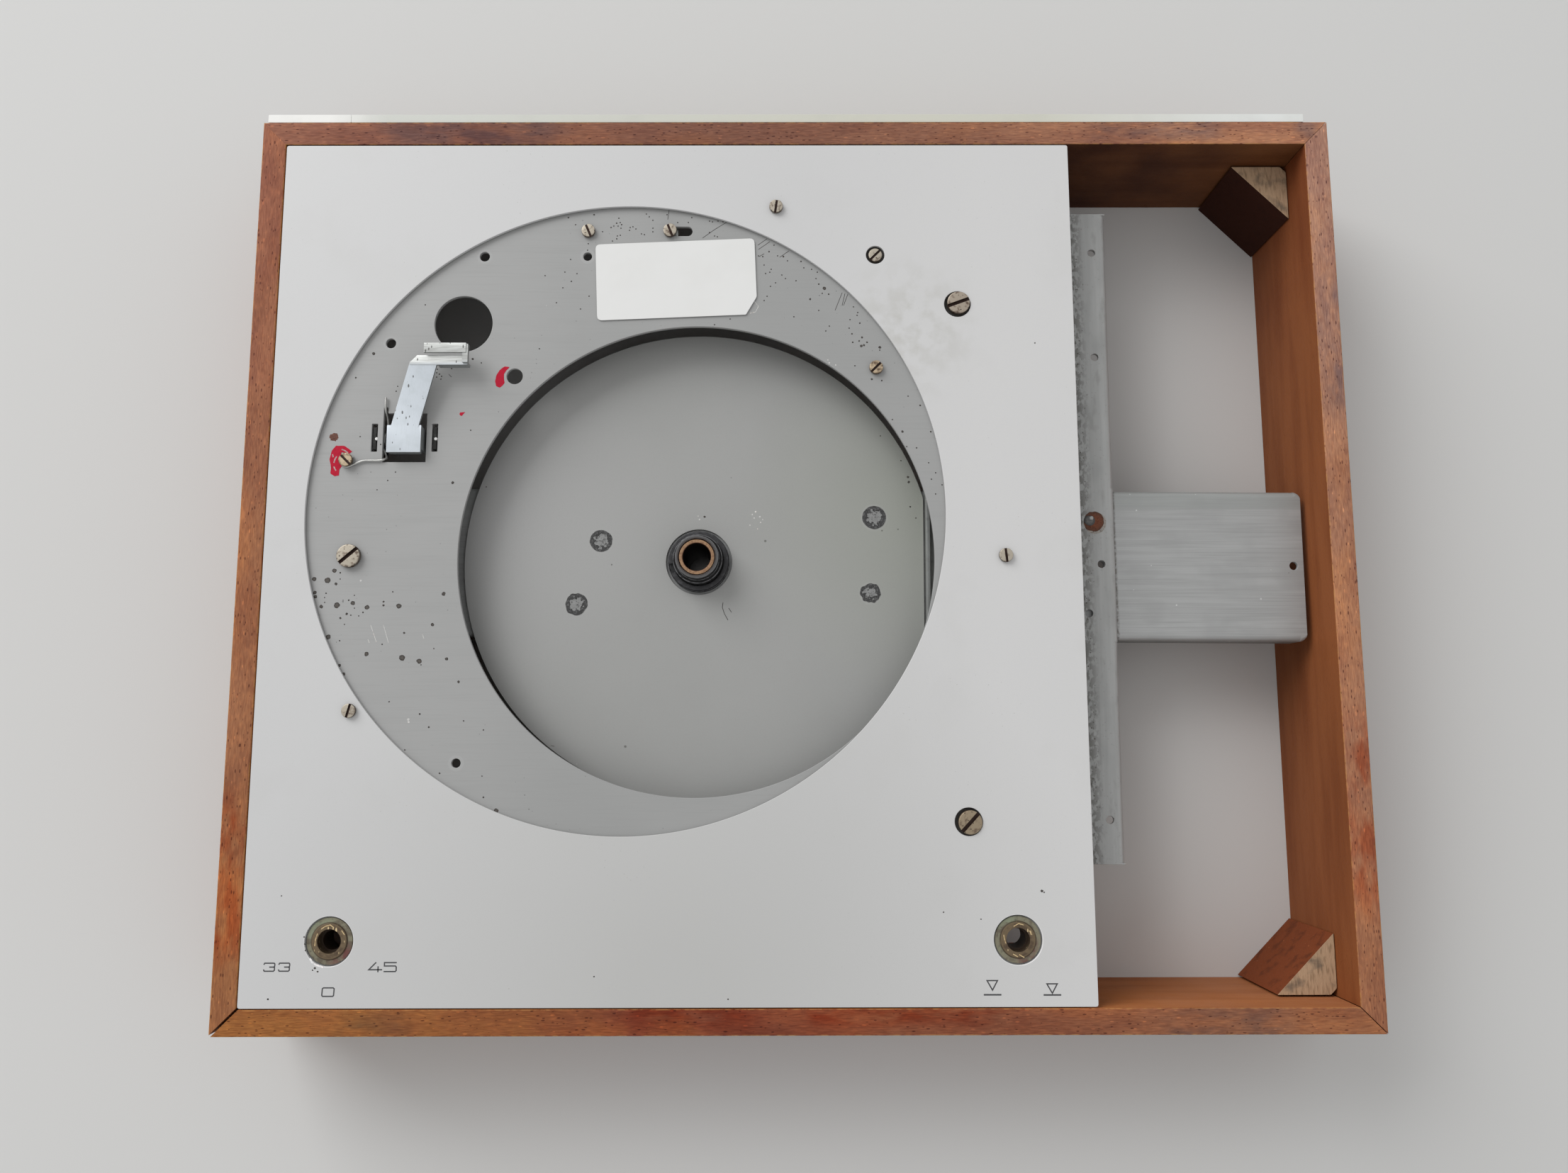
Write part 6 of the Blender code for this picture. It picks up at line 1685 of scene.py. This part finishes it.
# %% Scratches
DARK_SCRATCHES = (
    ((1026, 313), (1008, 324), (991, 336)), ((1082, 337), (1069, 346)), ((1086, 341), (1070, 352)),
    ((1113, 354), (1100, 363)), ((944, 296), (942, 310)), ((1071, 362), (1078, 358)),
    ((1192, 414), (1188, 431)), ((1196, 415), (1190, 431)), ((1188, 413), (1178, 438)),
    ((633, 528), (637, 532)), ((484, 846), (484, 850)), ((777, 1052), (782, 1053)),
)
PALE_SCRATCHES = (
    ((523, 882), (531, 906)), ((541, 882), (548, 907)), ((519, 902), (521, 907)), ((596, 895), (598, 901)),
    ((1064, 425), (1070, 432), (1066, 440), (1058, 442)),
)
DISC_SCRATCHES = (((1020, 850), (1019, 857), (1022, 866), (1027, 875)), ((1028, 858), (1032, 864)))
SHAVINGS = (
    ((444, 1335), (445, 1326), (448, 1317)), ((453, 1311), (459, 1307), (466, 1305), (471, 1309)),
    ((482, 1313), (486, 1319)), ((1416, 1319), (1417, 1325), (1419, 1331)),
    ((1430, 1307), (1437, 1303), (1444, 1305)), ((1452, 1313), (1456, 1319)), ((1429, 1346), (1436, 1350)),
    ((1438, 1347), (1445, 1351)),
)
WORN_RIM_AND_HIGHLIGHT = ((437, 1352), (440, 1357.5), (446, 1361.8), (456, 1364.5))
ribbons("scratches_dark", DARK_SCRATCHES, 0.7, PLATE_TOP, rusted)
ribbons("scratches_pale", PALE_SCRATCHES, 0.8, PLATE_TOP, bare)
ribbons("scratches_disc", DISC_SCRATCHES, 0.8, DISC_TOP, rusted, "subchassis")
bright_brass = mark_finish("bright_brass", (0.66, 0.5, 0.27), (0.75, 0.62, 0.38), 0.4)
ribbons("brass_shavings", SHAVINGS, 1.1, high("selector_bush")[2], bright_brass)
# The worn rim is partly wear and partly a painted highlight.
rim_wear_and_highlight = mark_finish("rim_wear_and_highlight", (0.86, 0.86, 0.86), (0.9, 0.9, 0.9), 0.4)
ribbons("cover_worn_rim_and_highlight", [WORN_RIM_AND_HIGHLIGHT], 2.4, TOP, rim_wear_and_highlight)
residue = mark_finish("brown_residue", (0.15, 0.07, 0.052), (0.105, 0.048, 0.036))
make("brown_spot", [flake(seen((471, 617), PLATE_TOP), PIXEL * 6, PLATE_TOP, 3, 0.28)], residue)

# %% [markdown]
# Red locking lacquer lies in three patches, each a thin plate inside an outline. Four pale streaks lie
# over the one round the anchor screw.

# %% Lacquer
LACQUER = 0.00006
CRESCENT = (
    (719, 518), (712, 517), (705, 522), (700, 530), (698.5, 538), (700, 545), (705, 547), (709, 544),
    (712, 540), (711, 535), (711, 528), (714, 523),
)
HEART = ((649, 582), (656, 581.5), (654, 584), (651, 587), (648, 585))
ROUND_ANCHOR = (
    (474, 629), (486, 629), (497, 637), (493, 640), (482, 638), (480, 644), (483, 657), (479, 662),
    (478, 671), (472, 672), (466, 668), (467, 660), (465, 648), (468, 636),
)
STREAKS = (
    ((475, 644), (472.5, 648), (471, 653)), ((471, 658), (472, 661), (474, 664)),
    ((482, 634), (487, 636), (491, 639)), ((469, 641), (470, 645)),
)


def patch(pixels, level, height, seed):
    """A thin plate inside an outline read off as pixels, its edge moved by a small wave."""
    outline = resampled(looped(seen(pixels, level)), 0.0003)[:-1]
    x, y = outline.T
    if (x * np.roll(y, -1) - y * np.roll(x, -1)).sum() < 0:
        outline = outline[::-1]
    wave = 0.0001 * ripple(np.linspace(0, 1, len(outline), endpoint=False), seed, 24, 6)
    return plate(outline + outward(outline) * wave[:, None], [], level + height, 2 * height, height / 3)


lacquer = Finish("red_lacquer", (0.5, 0.01, 0.036), 0.35, 0, 0.15)
lacquer.tint((0.34, 0.008, 0.024), lacquer.clouds(0.002, 0.5, 0.75, 0.5))
lacquer.relief(0.00008, lacquer.noise(0.0012))
red = []
for seed, outline in enumerate((CRESCENT, HEART, ROUND_ANCHOR)):
    red += patch(outline, PLATE_TOP, LACQUER, seed)
make("locking_lacquer", red, lacquer)
thin = mark_finish("lacquer_bare", (0.52, 0.36, 0.36), (0.5, 0.4, 0.4))
ribbons("lacquer_streaks", STREAKS, 1.8, PLATE_TOP + LACQUER, thin)

# %% [markdown]
# A spot weld has a dark burnt rim, a black crack and a pale ragged middle, laid by the wear attribute
# and noise. The one on the arm board's bar has rusted, and is built in layers of flakes: a pale
# outline, the rust, the dark dish that the electrode left, and a bright point.

# %% Welds
WELD_RIM = (0.056, 0.056, 0.056)
WELD_CRACK = (0.022, 0.022, 0.022)
WELD_MIDDLE = (0.275, 0.277, 0.274)
WELD_COLUMNS = 72

burnt = Finish("weld_burnt", WELD_RIM, 0.6, 0.1, 0.25)
burnt.tint([2.4 * part for part in WELD_RIM], burnt.clouds(0.0007, 0.52, 0.62, 0.8))
ragged = burnt.math("ADD", burnt.mark(), burnt.ramp(burnt.noise(0.0013, 6), 0.36, 0.64, 0.22, -0.22))
burnt.tint(WELD_CRACK, burnt.ramp(ragged, 0.24, 0.32, 0.8))
burnt.tint(WELD_MIDDLE, burnt.ramp(ragged, 0.36, 0.46, 0.95))
burnt.tint((0.11, 0.11, 0.106), burnt.ramp(ragged, 0.36, 0.46), burnt.clouds(0.0007, 0.54, 0.64))
burnt.relief(0.0002, burnt.noise(0.0006, 6))


def weld(name, place, radius, ragged, seed):
    """Heights over share s of the radius: a rim, a moat and a raised middle, cos(2 pi 1.25 s)."""
    angle, share = np.linspace(0, TAU, WELD_COLUMNS + 1), np.linspace(0, 1, 15)[:, None]
    edge = radius * (1 + ragged * ripple(angle / TAU, seed, 12))
    rough = 0.00004 * ripple(angle / TAU + share, seed + 1, 16) * share
    height = 0.00011 + 0.00007 * np.cos(TAU * 1.25 * share) * (1 - share**6) + rough * (1 - share**4)
    height = np.concatenate([height, np.full((2, len(angle)), -0.0001)])
    reach = np.concatenate([share, [[1], [0]]]) * edge
    wear = np.concatenate([1 - share, [[0], [0]]]) + 0 * angle
    grid = around(place, reach, angle, DISC_TOP + height)
    make(name, [grid], burnt, None, "subchassis", [wear], 1.0)


for number, (x, y, radius, ragged) in enumerate(WELDS):
    weld(f"weld_{number + 1}", on_sub(x, y), radius * MM, ragged, number)

# %% Bar weld
BAR_WELD = (
    ("outline", (1544.6, 737.4), 4.15, 0.03, (0.34, 0.32, 0.29), (0.34, 0.32, 0.29)),
    ("rust", (1543.4, 736), 3.85, 0.06, (0.09, 0.045, 0.03), (0.19, 0.062, 0.03)),
    ("dish", (1537.4, 734.5), 2.2, 0.04, (0.03, 0.028, 0.027), (0.17, 0.17, 0.165)),
    ("point", (1539.6, 731), 0.85, 0.1, (0.19, 0.19, 0.185), (0.5, 0.5, 0.49)),
)
for layer, (name, pixel, radius, ragged, rim, centre) in enumerate(BAR_WELD):
    grid = flake(seen(pixel, BAR_TOP), radius * MM, BAR_TOP, layer, ragged, FLAKE * (layer + 1))
    finish = mark_finish("weld_" + name, rim, centre, 0.55)
    make("bar_weld_" + name, [grid], finish, body="subchassis", wear=[flake_wear(grid)])
